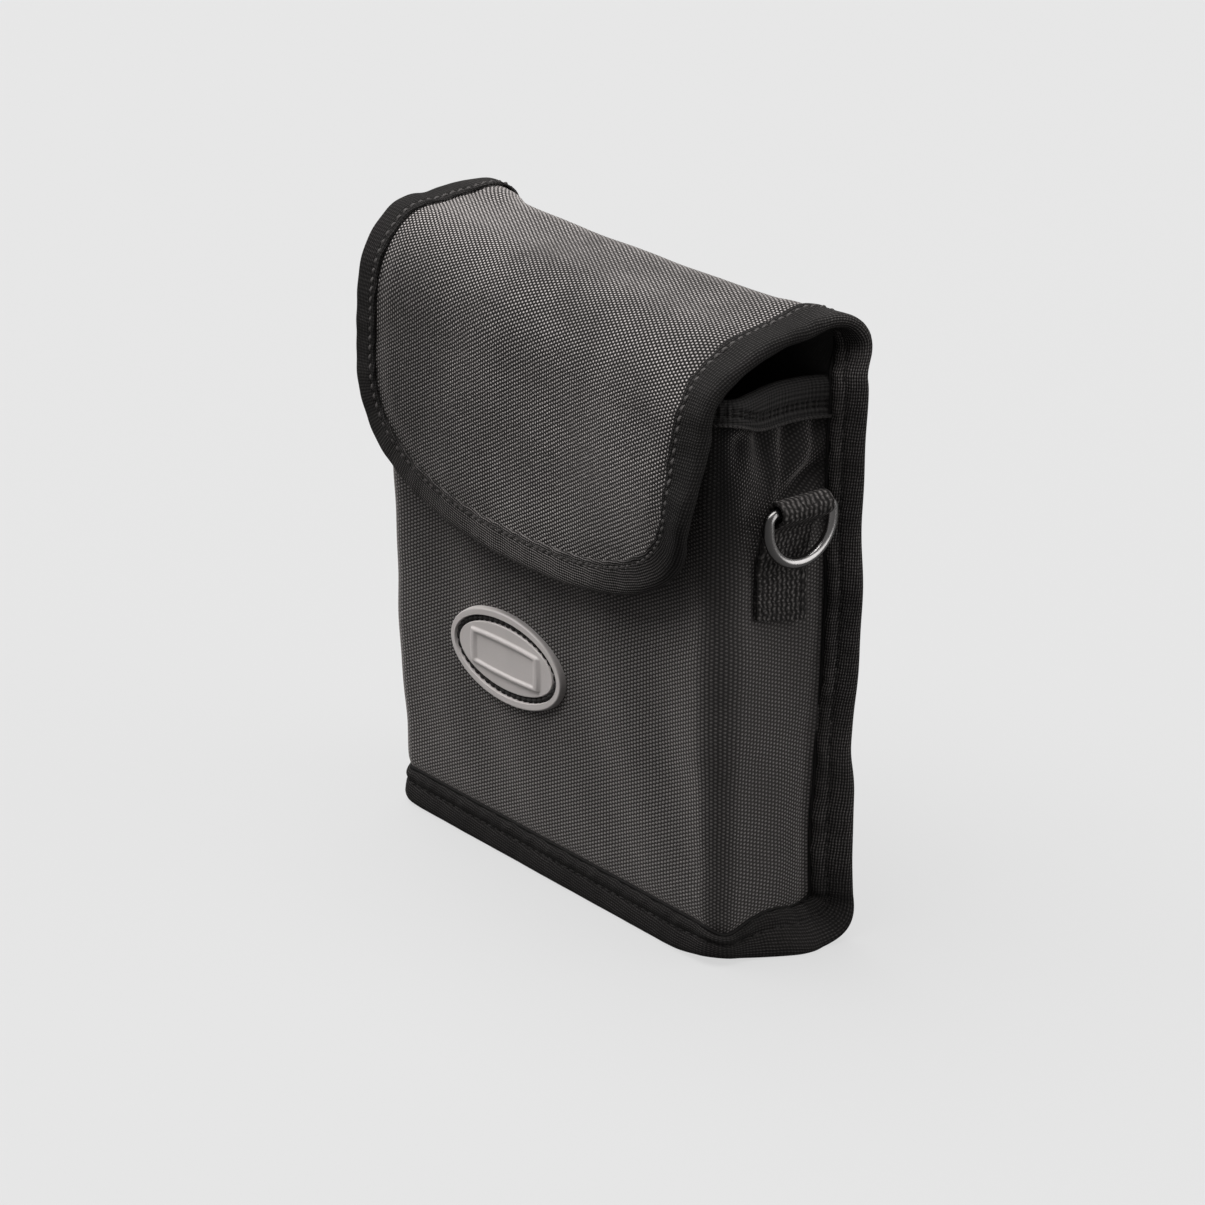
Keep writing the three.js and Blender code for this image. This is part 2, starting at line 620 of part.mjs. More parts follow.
add('left_d_ring', mirrored(dRing()), { color: 0xb9b8b4, roughness: 0.25, metalness: 1 });

binocularCase.position.y = -MIDDLE_Y;

export default binocularCase;
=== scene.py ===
"""Looks of a padded cloth case for compact binoculars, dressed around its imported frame.

The shape code works in millimetres in the case's own frame: X runs across the front, -Y is the
front and +Z is up. Points become metres in the row frame when a mesh is made.
"""

import sys
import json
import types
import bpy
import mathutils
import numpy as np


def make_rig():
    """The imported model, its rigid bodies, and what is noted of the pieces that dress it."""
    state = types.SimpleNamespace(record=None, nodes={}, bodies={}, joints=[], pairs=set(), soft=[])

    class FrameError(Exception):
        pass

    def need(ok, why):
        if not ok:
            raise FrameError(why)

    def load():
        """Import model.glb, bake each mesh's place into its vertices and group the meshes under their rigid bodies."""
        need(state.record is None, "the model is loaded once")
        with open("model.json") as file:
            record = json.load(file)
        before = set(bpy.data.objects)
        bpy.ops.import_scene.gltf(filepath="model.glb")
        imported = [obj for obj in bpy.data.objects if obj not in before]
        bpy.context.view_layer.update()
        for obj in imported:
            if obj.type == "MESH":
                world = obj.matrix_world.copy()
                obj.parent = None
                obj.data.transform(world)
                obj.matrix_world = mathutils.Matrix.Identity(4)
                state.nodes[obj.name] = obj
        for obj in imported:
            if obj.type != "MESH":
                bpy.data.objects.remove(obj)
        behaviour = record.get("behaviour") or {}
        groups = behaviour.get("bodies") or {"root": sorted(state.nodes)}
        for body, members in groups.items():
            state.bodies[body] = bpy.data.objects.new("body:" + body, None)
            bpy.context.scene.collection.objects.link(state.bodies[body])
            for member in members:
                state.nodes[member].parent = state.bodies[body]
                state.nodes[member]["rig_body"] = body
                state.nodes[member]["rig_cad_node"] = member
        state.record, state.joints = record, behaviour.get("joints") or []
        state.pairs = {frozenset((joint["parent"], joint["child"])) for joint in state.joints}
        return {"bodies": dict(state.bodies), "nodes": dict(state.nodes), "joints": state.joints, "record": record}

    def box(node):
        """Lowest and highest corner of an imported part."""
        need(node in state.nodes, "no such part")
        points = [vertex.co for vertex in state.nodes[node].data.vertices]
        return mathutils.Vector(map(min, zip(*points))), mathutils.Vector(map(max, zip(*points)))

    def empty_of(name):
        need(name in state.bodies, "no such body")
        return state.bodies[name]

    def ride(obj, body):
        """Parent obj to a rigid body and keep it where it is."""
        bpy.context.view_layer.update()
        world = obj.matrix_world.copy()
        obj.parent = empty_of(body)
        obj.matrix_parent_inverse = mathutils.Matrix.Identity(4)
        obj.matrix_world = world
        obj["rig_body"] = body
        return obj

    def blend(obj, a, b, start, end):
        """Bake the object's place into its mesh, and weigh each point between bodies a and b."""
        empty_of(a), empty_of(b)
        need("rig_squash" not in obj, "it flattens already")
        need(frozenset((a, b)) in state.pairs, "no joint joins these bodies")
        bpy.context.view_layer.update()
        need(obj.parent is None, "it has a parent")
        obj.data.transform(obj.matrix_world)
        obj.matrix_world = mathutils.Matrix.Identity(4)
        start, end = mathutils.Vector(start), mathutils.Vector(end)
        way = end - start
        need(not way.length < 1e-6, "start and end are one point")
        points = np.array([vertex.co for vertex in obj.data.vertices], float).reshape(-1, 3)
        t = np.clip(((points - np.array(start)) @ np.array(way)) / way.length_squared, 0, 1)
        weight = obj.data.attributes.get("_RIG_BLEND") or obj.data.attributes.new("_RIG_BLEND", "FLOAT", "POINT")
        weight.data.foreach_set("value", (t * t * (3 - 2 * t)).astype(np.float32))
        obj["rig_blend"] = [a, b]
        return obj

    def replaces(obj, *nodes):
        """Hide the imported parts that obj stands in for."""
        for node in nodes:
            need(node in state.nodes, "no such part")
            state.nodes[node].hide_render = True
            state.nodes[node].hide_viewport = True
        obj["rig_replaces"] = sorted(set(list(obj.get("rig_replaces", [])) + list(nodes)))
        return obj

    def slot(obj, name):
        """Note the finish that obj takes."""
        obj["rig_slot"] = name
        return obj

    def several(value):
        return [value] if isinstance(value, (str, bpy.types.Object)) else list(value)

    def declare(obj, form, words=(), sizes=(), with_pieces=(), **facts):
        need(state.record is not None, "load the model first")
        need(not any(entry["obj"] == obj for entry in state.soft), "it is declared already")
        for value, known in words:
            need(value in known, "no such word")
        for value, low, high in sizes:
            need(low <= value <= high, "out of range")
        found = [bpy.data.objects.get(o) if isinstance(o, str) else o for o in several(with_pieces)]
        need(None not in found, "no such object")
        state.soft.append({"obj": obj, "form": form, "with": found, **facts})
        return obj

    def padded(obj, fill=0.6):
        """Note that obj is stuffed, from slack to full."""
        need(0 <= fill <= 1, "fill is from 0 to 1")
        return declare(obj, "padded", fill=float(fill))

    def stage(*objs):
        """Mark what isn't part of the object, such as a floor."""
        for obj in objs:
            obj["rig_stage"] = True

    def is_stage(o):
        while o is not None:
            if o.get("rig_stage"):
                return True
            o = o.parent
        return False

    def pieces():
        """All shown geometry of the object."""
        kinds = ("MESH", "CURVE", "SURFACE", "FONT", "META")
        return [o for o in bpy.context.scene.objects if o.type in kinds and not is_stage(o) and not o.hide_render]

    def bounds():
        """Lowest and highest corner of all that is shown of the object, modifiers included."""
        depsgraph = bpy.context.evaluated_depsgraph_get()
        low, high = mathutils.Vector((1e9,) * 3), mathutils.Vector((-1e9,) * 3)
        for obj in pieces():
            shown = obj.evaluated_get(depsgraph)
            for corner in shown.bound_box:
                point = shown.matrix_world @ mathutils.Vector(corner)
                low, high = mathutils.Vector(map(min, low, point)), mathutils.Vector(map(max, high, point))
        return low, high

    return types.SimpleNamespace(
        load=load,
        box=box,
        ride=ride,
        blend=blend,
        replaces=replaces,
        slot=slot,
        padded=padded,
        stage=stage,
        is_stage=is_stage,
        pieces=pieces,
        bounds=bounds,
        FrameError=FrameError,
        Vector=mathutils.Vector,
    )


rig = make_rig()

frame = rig.load()

import json
import logging
import math
from dataclasses import dataclass, field
from enum import Enum

import bpy
import numpy as np

LOG = logging.getLogger("case")
CAD_BOX = [list(corner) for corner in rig.bounds()]
SIZE_FILE = "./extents.json"
METRE = 0.001  # a millimetre in metres
ROW_SHIFT = np.array([0.0, 0.875, 0.0])  # from the case's own frame to the row frame
FLAT_MAP = "flat"
BODY, FLAP = "case", "flap"
QUARTER_TURN, FULL_TURN = math.pi / 2, 2 * math.pi
EDGE_ROUND = 0.8  # radius by which cloth turns into a seam
FRONT_Y, BACK_Y = -20.5, 20.5  # outer faces of the front and the back
FRONT_HALF, FRONT_SKEW = 72.0, 0.07  # half of the flat front, and the slant of its weave
LINING_GAP, LINING_THICK = 0.12, 0.4
RIB_PITCH = 1.05  # ribs of the elastic
RING_BAR, WIRE_RADIUS = (81.0, 130.834), 1.5  # x and z of a ring's bar, and its wire
BADGE_HALF = (25.9, 13.8)  # half width and half height


class Side(Enum):
    """The two sides of the case, with the sign of their X."""

    RIGHT = 1
    LEFT = -1

    @property
    def word(self) -> str:
        """Name of the side in lower case."""
        return self.name.lower()

    @property
    def flip(self) -> np.ndarray:
        """Factors that put points of the right side on this side."""
        return np.array([self.value, 1.0, 1.0])


class Leaf(Enum):
    """The two leaves of a folded tape, with the sign of their place across the fold."""

    OUTER = 1
    INNER = -1


def smooth(low: float, high: float, at: np.ndarray) -> np.ndarray:
    """Smoothstep of a value between two limits: t * t * (3 - 2 t) with t clipped to 0..1.

    Args:
        low: Value where the step is 0.
        high: Value where the step is 1; it may be below low.
        at: Values to look up.

    Returns:
        The step at each value.
    """
    t = np.clip((np.asarray(at, float) - low) / (high - low), 0.0, 1.0)
    return t * t * (3 - 2 * t)


def bell(at: np.ndarray, centre: float, width: float) -> np.ndarray:
    """Gaussian bump exp(-((at - centre) / width) ** 2)."""
    return np.exp(-(((np.asarray(at, float) - centre) / width) ** 2))


def hills(at: np.ndarray, *bells: tuple[float, float, float]) -> np.ndarray:
    """Sum of bells, each given as (height, centre, width)."""
    return sum(height * bell(at, centre, width) for height, centre, width in bells)


def ripple(at: np.ndarray, *waves: tuple[float, float, float]) -> np.ndarray:
    """Sum of sine waves, each given as (length, height, phase).

    Args:
        at: Places along the wave.
        waves: Length, height and phase of each wave.

    Returns:
        The sum of height * sin(2 pi at / length + phase).
    """
    parts = np.array(waves)[:, :, None]
    place = np.asarray(at, float)
    angle = FULL_TURN * place.reshape(1, -1) / parts[:, 0] + parts[:, 2]
    return (parts[:, 1] * np.sin(angle)).sum(0).reshape(place.shape)


def unit(vectors: np.ndarray) -> np.ndarray:
    """Vectors along the last axis, scaled to length 1."""
    return vectors / np.linalg.norm(vectors, axis=-1, keepdims=True)


def stack(*parts: np.ndarray) -> np.ndarray:
    """Coordinates stacked along a new last axis, after broadcasting."""
    return np.stack(np.broadcast_arrays(*parts), axis=-1)


def lengths_along(points: np.ndarray) -> np.ndarray:
    """Running length along a line of points, starting at 0."""
    steps = np.linalg.norm(np.diff(points, axis=0), axis=1)
    return np.concatenate([[0.0], np.cumsum(steps)])


def looped(points: np.ndarray) -> np.ndarray:
    """A line of points with its first point again at its end."""
    return np.concatenate([points, points[:1]])


def look_up(at: np.ndarray, run: np.ndarray, values: np.ndarray) -> np.ndarray:
    """Vectors at places along a line, by linear interpolation.

    Args:
        at: Places along the line.
        run: Running length at each point of the line.
        values: A vector for each point of the line.

    Returns:
        The vectors, with their coordinates on a new last axis.
    """
    return stack(*(np.interp(at, run, column) for column in values.T))


def round_angles(count: int) -> np.ndarray:
    """Angles of points spread evenly round a circle."""
    return FULL_TURN * np.arange(count) / count


def between(low: np.ndarray, high: np.ndarray, share: np.ndarray) -> np.ndarray:
    """Values at a share of the way from low to high."""
    return low + (high - low) * share


def past_edge(at: np.ndarray) -> np.ndarray:
    """Distance past an edge, rounded off as r log(1 + exp(at / r))."""
    return np.log1p(np.exp(np.clip(at / EDGE_ROUND, -40, 40))) * EDGE_ROUND


def put(name: str, data: bpy.types.ID) -> bpy.types.Object:
    """Puts a new object into the scene.

    Args:
        name: Name of the object.
        data: Its mesh, lamp or camera.

    Returns:
        The object.
    """
    made = bpy.data.objects.new(name, data)
    bpy.context.scene.collection.objects.link(made)
    return made


class Solid:
    """Points, faces and flat cloth coordinates of a closed mesh, gathered grid by grid."""

    def __init__(self) -> None:
        """Starts with no points and no faces."""
        self._points: list[np.ndarray] = []
        self._faces: list[np.ndarray] = []
        self._flat: list[np.ndarray] = []
        self._count = 0

    def add_points(self, points: np.ndarray) -> np.ndarray:
        """Adds a grid of points.

        Args:
            points: Coordinates in millimetres, with x, y, z on the last axis.

        Returns:
            The number of each point, in the shape of the grid.
        """
        shape = points.shape[:-1]
        numbers = self._count + np.arange(math.prod(shape)).reshape(shape)
        self._points.append(points.reshape(-1, 3))
        self._count += numbers.size
        return numbers

    def add_faces(self, corners: np.ndarray, flat: np.ndarray) -> None:
        """Adds faces by their corner numbers and the flat coordinates of those corners."""
        self._faces.append(corners)
        self._flat.append(flat)

    def add_grid(self, numbers: np.ndarray, flat: np.ndarray, wrap: tuple[bool, bool]) -> None:
        """Adds the quads of a grid of points, or of a batch of such grids.

        Args:
            numbers: Point numbers, with rows and columns on the last two axes.
            flat: Flat coordinates, one row or column longer where the grid wraps.
            wrap: Whether the rows and the columns join up with the first again.
        """
        rows, columns = numbers.shape[-2:]
        i = np.arange(rows - 1 + wrap[0])[:, None]
        j = np.arange(columns - 1 + wrap[1])[None, :]
        steps = ((0, 0), (1, 0), (1, 1), (0, 1))
        corners = [numbers[..., (i + a) % rows, (j + b) % columns] for a, b in steps]
        places = [flat[..., i + a, j + b, :] for a, b in steps]
        self.add_faces(np.stack(corners, -1).reshape(-1, 4), np.stack(places, -2).reshape(-1, 4, 2))

    def add_slab(self, outer: np.ndarray, inner: np.ndarray, flat: np.ndarray) -> "Solid":
        """Adds a closed sheet between two grids of the same shape, with walls round its edge.

        Args:
            outer: Points of the outer face.
            inner: Points of the inner face.
            flat: Flat coordinates of both faces.

        Returns:
            The solid itself.
        """
        top, under = self.add_points(outer), self.add_points(inner)
        self.add_grid(top, flat, (False, False))
        self.add_grid(under[:, ::-1], flat[:, ::-1], (False, False))
        a, b, f = (self._rim(grid) for grid in (top, under, flat))
        a2, b2, f2 = np.roll(a, -1), np.roll(b, -1), np.roll(f, -1, axis=0)
        self.add_faces(np.stack([a2, a, b, b2], -1), np.stack([f2, f, f, f2], -2))
        return self

    @staticmethod
    def _rim(grid: np.ndarray) -> np.ndarray:
        """Entries round the edge of a grid, in order."""
        return np.concatenate([grid[:-1, 0], grid[-1, :-1], grid[:0:-1, -1], grid[0, :0:-1]])

    def add_sweep(self, rings: np.ndarray, flat: np.ndarray, closed: bool) -> "Solid":
        """Adds a closed profile carried along a path, or a batch of them.

        Args:
            rings: Points with path steps, profile points and x, y, z on the last three axes.
            flat: Flat coordinates, one profile point longer, and one step longer if closed.
            closed: Whether the path joins up with its start; an open one gets end caps.

        Returns:
            The solid itself.
        """
        numbers = self.add_points(rings)
        self.add_grid(numbers, flat, (closed, True))
        if not closed:
            sides = rings.shape[-2]
            for ends, places in ((numbers[..., 0, :], flat[..., 0, :-1, :]),
                                 (numbers[..., -1, ::-1], flat[..., -1, -2::-1, :])):
                self.add_faces(ends.reshape(-1, sides), places.reshape(-1, sides, 2))
        return self

    def build(self, name: str, crease: float = 55.0) -> bpy.types.Object:
        """Makes the mesh object, with its faces turned outwards by the sign of its volume.

        Args:
            name: Name of the piece.
            crease: Angle in degrees from which an edge is kept sharp.

        Returns:
            The new object, at the origin, with its place in its mesh.
        """
        points = np.concatenate(self._points)
        flip = -1 if self._volume(points) < 0 else 1
        faces = [row for group in self._faces for row in group[:, ::flip].tolist()]
        flat = np.concatenate([group[:, ::flip].reshape(-1, 2) for group in self._flat])
        mesh = bpy.data.meshes.new(name)
        mesh.from_pydata(((points + ROW_SHIFT) * METRE).tolist(), [], faces)
        layer = mesh.uv_layers.new(name=FLAT_MAP)
        layer.data.foreach_set("uv", flat.astype(np.float32).ravel())
        mesh.polygons.foreach_set("use_smooth", np.ones(len(faces), bool))
        mesh.set_sharp_from_angle(angle=math.radians(crease))
        mesh.update()
        return put(name, mesh)

    def _volume(self, points: np.ndarray) -> float:
        """Signed volume: the sum over fan triangles of a . (b x c) / 6."""
        fans = ((points[g[:, :1]], points[g[:, 1:-1]], points[g[:, 2:]]) for g in self._faces)
        return sum(float((a * np.cross(b, c)).sum()) / 6 for a, b, c in fans)


class Value:
    """A number in a material; Python operators on it add Math nodes."""

    def __init__(self, paint: "Paint", socket: bpy.types.NodeSocket) -> None:
        """Wraps one output socket of a material's nodes."""
        self.paint = paint
        self.socket = socket

    def _math(self, operation: str, *operands: "Value | float") -> "Value":
        """Result of a Math node on the operands."""
        settings, inputs = {"operation": operation}, dict(enumerate(operands))
        return Value(self.paint, self.paint.node("ShaderNodeMath", settings, inputs).outputs[0])

    def __add__(self, other: "Value | float") -> "Value":
        """self + other."""
        return self._math("ADD", self, other)

    __radd__ = __add__

    def __sub__(self, other: "Value | float") -> "Value":
        """self - other."""
        return self._math("SUBTRACT", self, other)

    def __rsub__(self, other: float) -> "Value":
        """other - self."""
        return self._math("SUBTRACT", other, self)

    def __mul__(self, other: "Value | float") -> "Value":
        """self * other."""
        return self._math("MULTIPLY", self, other)

    __rmul__ = __mul__

    def __truediv__(self, other: "Value | float") -> "Value":
        """self / other."""
        return self._math("DIVIDE", self, other)

    def __pow__(self, other: float) -> "Value":
        """self to a power."""
        return self._math("POWER", self, other)

    def __abs__(self) -> "Value":
        """Size of the number without its sign."""
        return self._math("ABSOLUTE", self)

    def sine(self) -> "Value":
        """Sine of the number, in radians."""
        return self._math("SINE", self)

    def wave(self, length: float) -> "Value":
        """Sine wave of that length: sin(2 pi x / length)."""
        return (self * (FULL_TURN / length)).sine()

    def stripes(self, length: float) -> "Value":
        """The same wave moved to run from 0 to 1."""
        return self.wave(length) * 0.5 + 0.5

    def at_least(self, limit: float) -> "Value":
        """The larger of the number and a limit."""
        return self._math("MAXIMUM", self, limit)

    def at_most(self, limit: float) -> "Value":
        """The smaller of the number and a limit."""
        return self._math("MINIMUM", self, limit)

    def within(self) -> "Value":
        """The number kept between 0 and 1."""
        return self.at_least(0.0).at_most(1.0)

    def ramp(self, start: float, end: float) -> "Value":
        """Goes from 0 where the number is the start to 1 where it is the end."""
        return ((self - start) / (end - start)).within()


Colour = tuple[float, float, float, float]


def grey(level: float, warmth: float = 0.06) -> Colour:
    """A grey of that linear level, made slightly warm."""
    return (level * (1 + 1.3 * warmth), level, level * (1 - 0.5 * warmth), 1.0)


class Paint:
    """The nodes of one material, ending in a Principled shader."""

    def __init__(self, name: str) -> None:
        """Makes an empty material with a shader and an output.

        Args:
            name: Name of the material.
        """
        self.material = bpy.data.materials.new(name)
        self.material.use_nodes = True
        self.tree = self.material.node_tree
        self.tree.nodes.clear()
        self.shader = self.node("ShaderNodeBsdfPrincipled")
        self.node("ShaderNodeOutputMaterial", {}, {"Surface": self.shader.outputs[0]})

    def node(self, kind: str, settings: dict | None = None,
             inputs: dict | None = None) -> bpy.types.Node:
        """Adds any node.

        Args:
            kind: Type of the node.
            settings: Properties that are set first.
            inputs: Values or links by socket name or number.

        Returns:
            The new node.
        """
        made = self.tree.nodes.new(kind)
        for key, value in (settings or {}).items():
            setattr(made, key, value)
        for key, value in (inputs or {}).items():
            self.feed(made.inputs[key], value)
        return made

    def feed(self, socket: bpy.types.NodeSocket, value: object) -> None:
        """Links a value to a socket, or sets the socket where the value is a plain number.

        Args:
            socket: Input of a node.
            value: A value, an output of a node, a number or a colour.
        """
        source = value.socket if isinstance(value, Value) else value
        if isinstance(source, bpy.types.NodeSocket):
            self.tree.links.new(source, socket)
        else:
            socket.default_value = source

    def flat(self) -> tuple[Value, Value]:
        """The piece's own flat coordinates in millimetres.

        Returns:
            The values u and v.
        """
        source = self.node("ShaderNodeUVMap", {"uv_map": FLAT_MAP})
        parts = self.node("ShaderNodeSeparateXYZ", {}, {0: source.outputs[0]})
        return Value(self, parts.outputs[0]), Value(self, parts.outputs[1])

    def place(self) -> bpy.types.NodeSocket:
        """Object coordinates in metres."""
        return self.node("ShaderNodeTexCoord").outputs["Object"]

    def vector(self, x: Value | float, y: Value | float) -> bpy.types.NodeSocket:
        """A flat vector put together from numbers."""
        return self.node("ShaderNodeCombineXYZ", {}, {0: x, 1: y}).outputs[0]

    def noise(self, vector: bpy.types.NodeSocket, scale: float, detail: float = 2.0) -> Value:
        """Soft noise from 0 to 1."""
        inputs = {"Vector": vector, "Scale": scale, "Detail": detail}
        return Value(self, self.node("ShaderNodeTexNoise", {}, inputs).outputs[0])

    def mix(self, factor: Value, low: object, high: object) -> bpy.types.NodeSocket:
        """A colour between two colours."""
        settings = {"data_type": "RGBA"}
        return self.node("ShaderNodeMix", settings, {0: factor, 6: low, 7: high}).outputs[2]

    def relief(self, height: Value, depth: float) -> None:
        """Bumps the surface by a height from 0 to 1 that stands for a depth in millimetres."""
        inputs = {"Height": height, "Distance": depth * METRE, "Strength": 1.0}
        self.set(Normal=self.node("ShaderNodeBump", {}, inputs).outputs[0])

    def set(self, **sockets: object) -> None:
        """Feeds the shader's sockets; an underscore in a name stands for a space."""
        for name, value in sockets.items():
            self.feed(self.shader.inputs[name.replace("_", " ")], value)


@dataclass(frozen=True)
class Finish:
    """A finish of the case: its record slot and how its material is painted."""

    name: str
    slot: str

    def material(self) -> bpy.types.Material:
        """The finish's material, painted on first use.

        Returns:
            The material.
        """
        made = bpy.data.materials.get(f"{self.name}_paint")
        if made is None:
            paint = Paint(f"{self.name}_paint")
            self.paint(paint)
            made = paint.material
        return made

    def paint(self, paint: Paint) -> None:
        """Fills the material's nodes."""
        raise NotImplementedError

    def dress(self, piece: bpy.types.Object) -> bpy.types.Object:
        """Puts the finish on a piece and names its record slot.

        Args:
            piece: The piece.

        Returns:
            The same piece.
        """
        piece.data.materials.clear()
        piece.data.materials.append(self.material())
        if self.slot:
            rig.slot(piece, self.slot)
        return piece


@dataclass(frozen=True)
class WovenCloth(Finish):
    """Coarse two-tone cloth: light flecks over dark cross yarns, offset from row to row."""

    float_length: float = 1.28
    row_height: float = 0.555
    dark: float = 0.019
    light: float = 0.116
    fuzz: float = 0.36
    depth: float = 0.2
    rising: float = 0.0

    def wear(self, u: Value, v: Value) -> Value:
        """Painted light: how pale the flecks are painted from place to place."""
        raise NotImplementedError

    def depth_shade(self, u: Value, v: Value) -> Value:
        """Painted shade: how near to black the cloth is painted from place to place."""
        raise NotImplementedError

    def softness(self, u: Value) -> Value | float:
        """How far the flecks blend with the yarns under them."""
        return 0.0

    def paint(self, paint: Paint) -> None:
        """Flecks 0.9 a b + 0.7 a a - 0.3 within 0..1, a = sin(pi u / p) and b = sin(pi v / r).

        On the front they join into rising lines cos(pi u / p - pi v / r). Noise from yarn to yarn
        and broad clouds vary how light the flecks are, painted light makes them paler or darker
        by place, and painted shade mixes the cloth towards near black. Where the cloth is soft
        they blend with the yarns under them into one even tone.

        Args:
            paint: The material's nodes.
        """
        u, v = paint.flat()
        place = paint.vector(u, v)
        drift = paint.noise(place, 0.12) - 0.5
        turn_u = (u + drift * 0.6) * (math.pi / self.float_length)
        turn_v = (v + drift * 0.3) * (math.pi / self.row_height)
        across, up = turn_u.sine(), turn_v.sine()
        front = abs(u).ramp(FRONT_HALF, FRONT_HALF - 16.0)
        lines = (turn_u - turn_v + QUARTER_TURN).sine() * front * self.rising
        flecks = (across * (up * 0.9 + across * 0.7) + lines - 0.3).within()
        fibre = paint.noise(paint.vector(u * 0.8, v * 1.6), 1.0)
        streak = paint.noise(paint.vector(u * 0.03, v * 0.9), 1.0)
        cloud = paint.noise(place, 0.05, 3.0)
        # The last factor of the tone is painted light: paler or darker flecks by place.
        tone = (fibre * 1.4 + 0.3) * (streak * 0.6 + 0.7) * (cloud * 1.2 + 0.4) * self.wear(u, v)
        soft = self.softness(u)
        shown = flecks * tone * (1.0 - soft) + soft * 0.2
        colour = paint.mix(shown, grey(self.dark), grey(self.light))
        # Painted shade: the cloth is mixed towards near black by its shade mask.
        paint.set(Base_Color=paint.mix(self.depth_shade(u, v), colour, grey(0.003)))
        paint.set(Roughness=0.9 - flecks * 0.15, Specular_IOR_Level=0.1)
        paint.set(Sheen_Weight=self.fuzz, Sheen_Roughness=0.35, Sheen_Tint=grey(0.92))
        paint.relief(flecks, self.depth)


@dataclass(frozen=True)
class WrapCloth(WovenCloth):
    """Cloth of the front and sides, with painted shade under the flap, in the lower seam's crease
    and along the corners, and painted light low down.
    """

    def rise(self, u: Value, v: Value) -> Value:
        """Height of a place: v + 0.07 u on the front."""
        return v + u.at_least(-FRONT_HALF).at_most(FRONT_HALF) * FRONT_SKEW

    def wear(self, u: Value, v: Value) -> Value:
        """Painted light from below: paler lower down."""
        return self.rise(u, v).ramp(95.0, 25.0) * 0.36 + 0.9

    def softness(self, u: Value) -> Value:
        """Softer round the corners and on the sides."""
        return abs(u).ramp(60.0, 70.0) * 0.34

    def depth_shade(self, u: Value, v: Value) -> Value:
        """Painted shade: dark high up on the sides under the flap, deep in the crease of the lower
        seam and a little along the corners.

        The front also has one small dark mark, 1 - |x| / 4.8 - |y| / 1.6 from its middle.

        Args:
            u: Place across.
            v: Place up.

        Returns:
            The painted shade, with the dark mark, from 0 to 1.
        """
        z, q = self.rise(u, v), abs(u)
        # Painted shade of the flap's overhang, high up on the sides.
        flap_shade = z.ramp(100.0, 136.0) * q.ramp(66.0, 74.0) * (0.95 - q.ramp(80.0, 96.0) * 0.2)
        x, y = u + 8.0, z - 83.9
        dark_mark = (1.0 - abs(x) / 4.8 - abs(y + x * 0.15) / 1.6).within() * 0.7
        # Painted shade along the front corners.
        corner = abs(q - 73.0).ramp(9.0, 0.0) * 0.22
        # Painted shade in the crease above the lower seam's tape: the share left lit.
        seam = z.ramp(8.0, 12.5) * 0.85 + 0.15
        return 1.0 - (1.0 - flap_shade) * (1.0 - corner) * (1.0 - dark_mark) * seam


@dataclass(frozen=True)
class StripCloth(WovenCloth):
    """Cloth of the back and flap, with a painted highlight on the left of the top and painted shade
    at the front's left.
    """

    def wear(self, u: Value, v: Value) -> Value:
        """Painted light by side: 0.62 over the top and -0.43 down the front,
        both fading to the right.
        """
        return self.left(u) * (0.62 - self.front(v) * 1.05) + 0.8

    def depth_shade(self, u: Value, v: Value) -> Value:
        """Painted shade towards the left of the front."""
        return self.left(u) * self.front(v) * 0.32

    def left(self, u: Value) -> Value:
        """Rises from 0 in the middle to 1 on the left."""
        return u.ramp(-12.0, -57.0)

    def front(self, v: Value) -> Value:
        """Rises from 0 on the top to 1 down the front."""
        return v.ramp(236.0, 262.0)


@dataclass(frozen=True)
class RibbedTape(Finish):
    """Black binding tape: fine lines broken by cross picks, with painted light at the flap's tip
    and up the back.
    """

    line_pitch: float = 0.75
    pick: float = 0.9
    dark: float = 0.007
    light: float = 0.045
    # Reach in millimetres of the painted light round the middle of the flap's tip.
    rubbed: float = 75.0

    def paint(self, paint: Paint) -> None:
        """Yarns 0.6 sin(2 pi v / l) + 0.4 sin(2 pi u / p) + 0.25 within 0..1, uneven by noise.

        Painted light: the tape is painted paler by 1 - |u| / reach on either side of the tip's middle,
        and up the back.

        Args:
            paint: The material's nodes.
        """
        u, v = paint.flat()
        place = paint.vector(u, v)
        drift = paint.noise(place, 0.25) - 0.5
        lines = (v + u * 0.1 + drift * 0.5).wave(self.line_pitch)
        picks = (u + drift * 0.5).wave(self.pick)
        weave = (lines * 0.6 + picks * 0.4 + 0.25).within()
        fuzz = paint.noise(place, 1.6, 3.0)
        worn = paint.noise(place, 0.08, 3.0) * 1.4 + 0.3
        # Painted light up the back seams, added to the painted light round the flap's tip.
        back = abs(u).ramp(150.0, 180.0) - abs(u).ramp(318.0, 332.0)
        tape_painted_light = abs(u).ramp(self.rubbed, 0.0) * 5.2 + back * 1.35 + 0.54
        lift = weave * (fuzz * 1.6 - 0.1) * worn * tape_painted_light
        paint.set(Base_Color=paint.mix(lift * 0.3, grey(self.dark), grey(self.light / 0.3)))
        paint.set(Roughness=0.9 - weave * 0.1, Specular_IOR_Level=0.07)
        paint.relief(weave * 0.8 + fuzz * 0.3, 0.22)


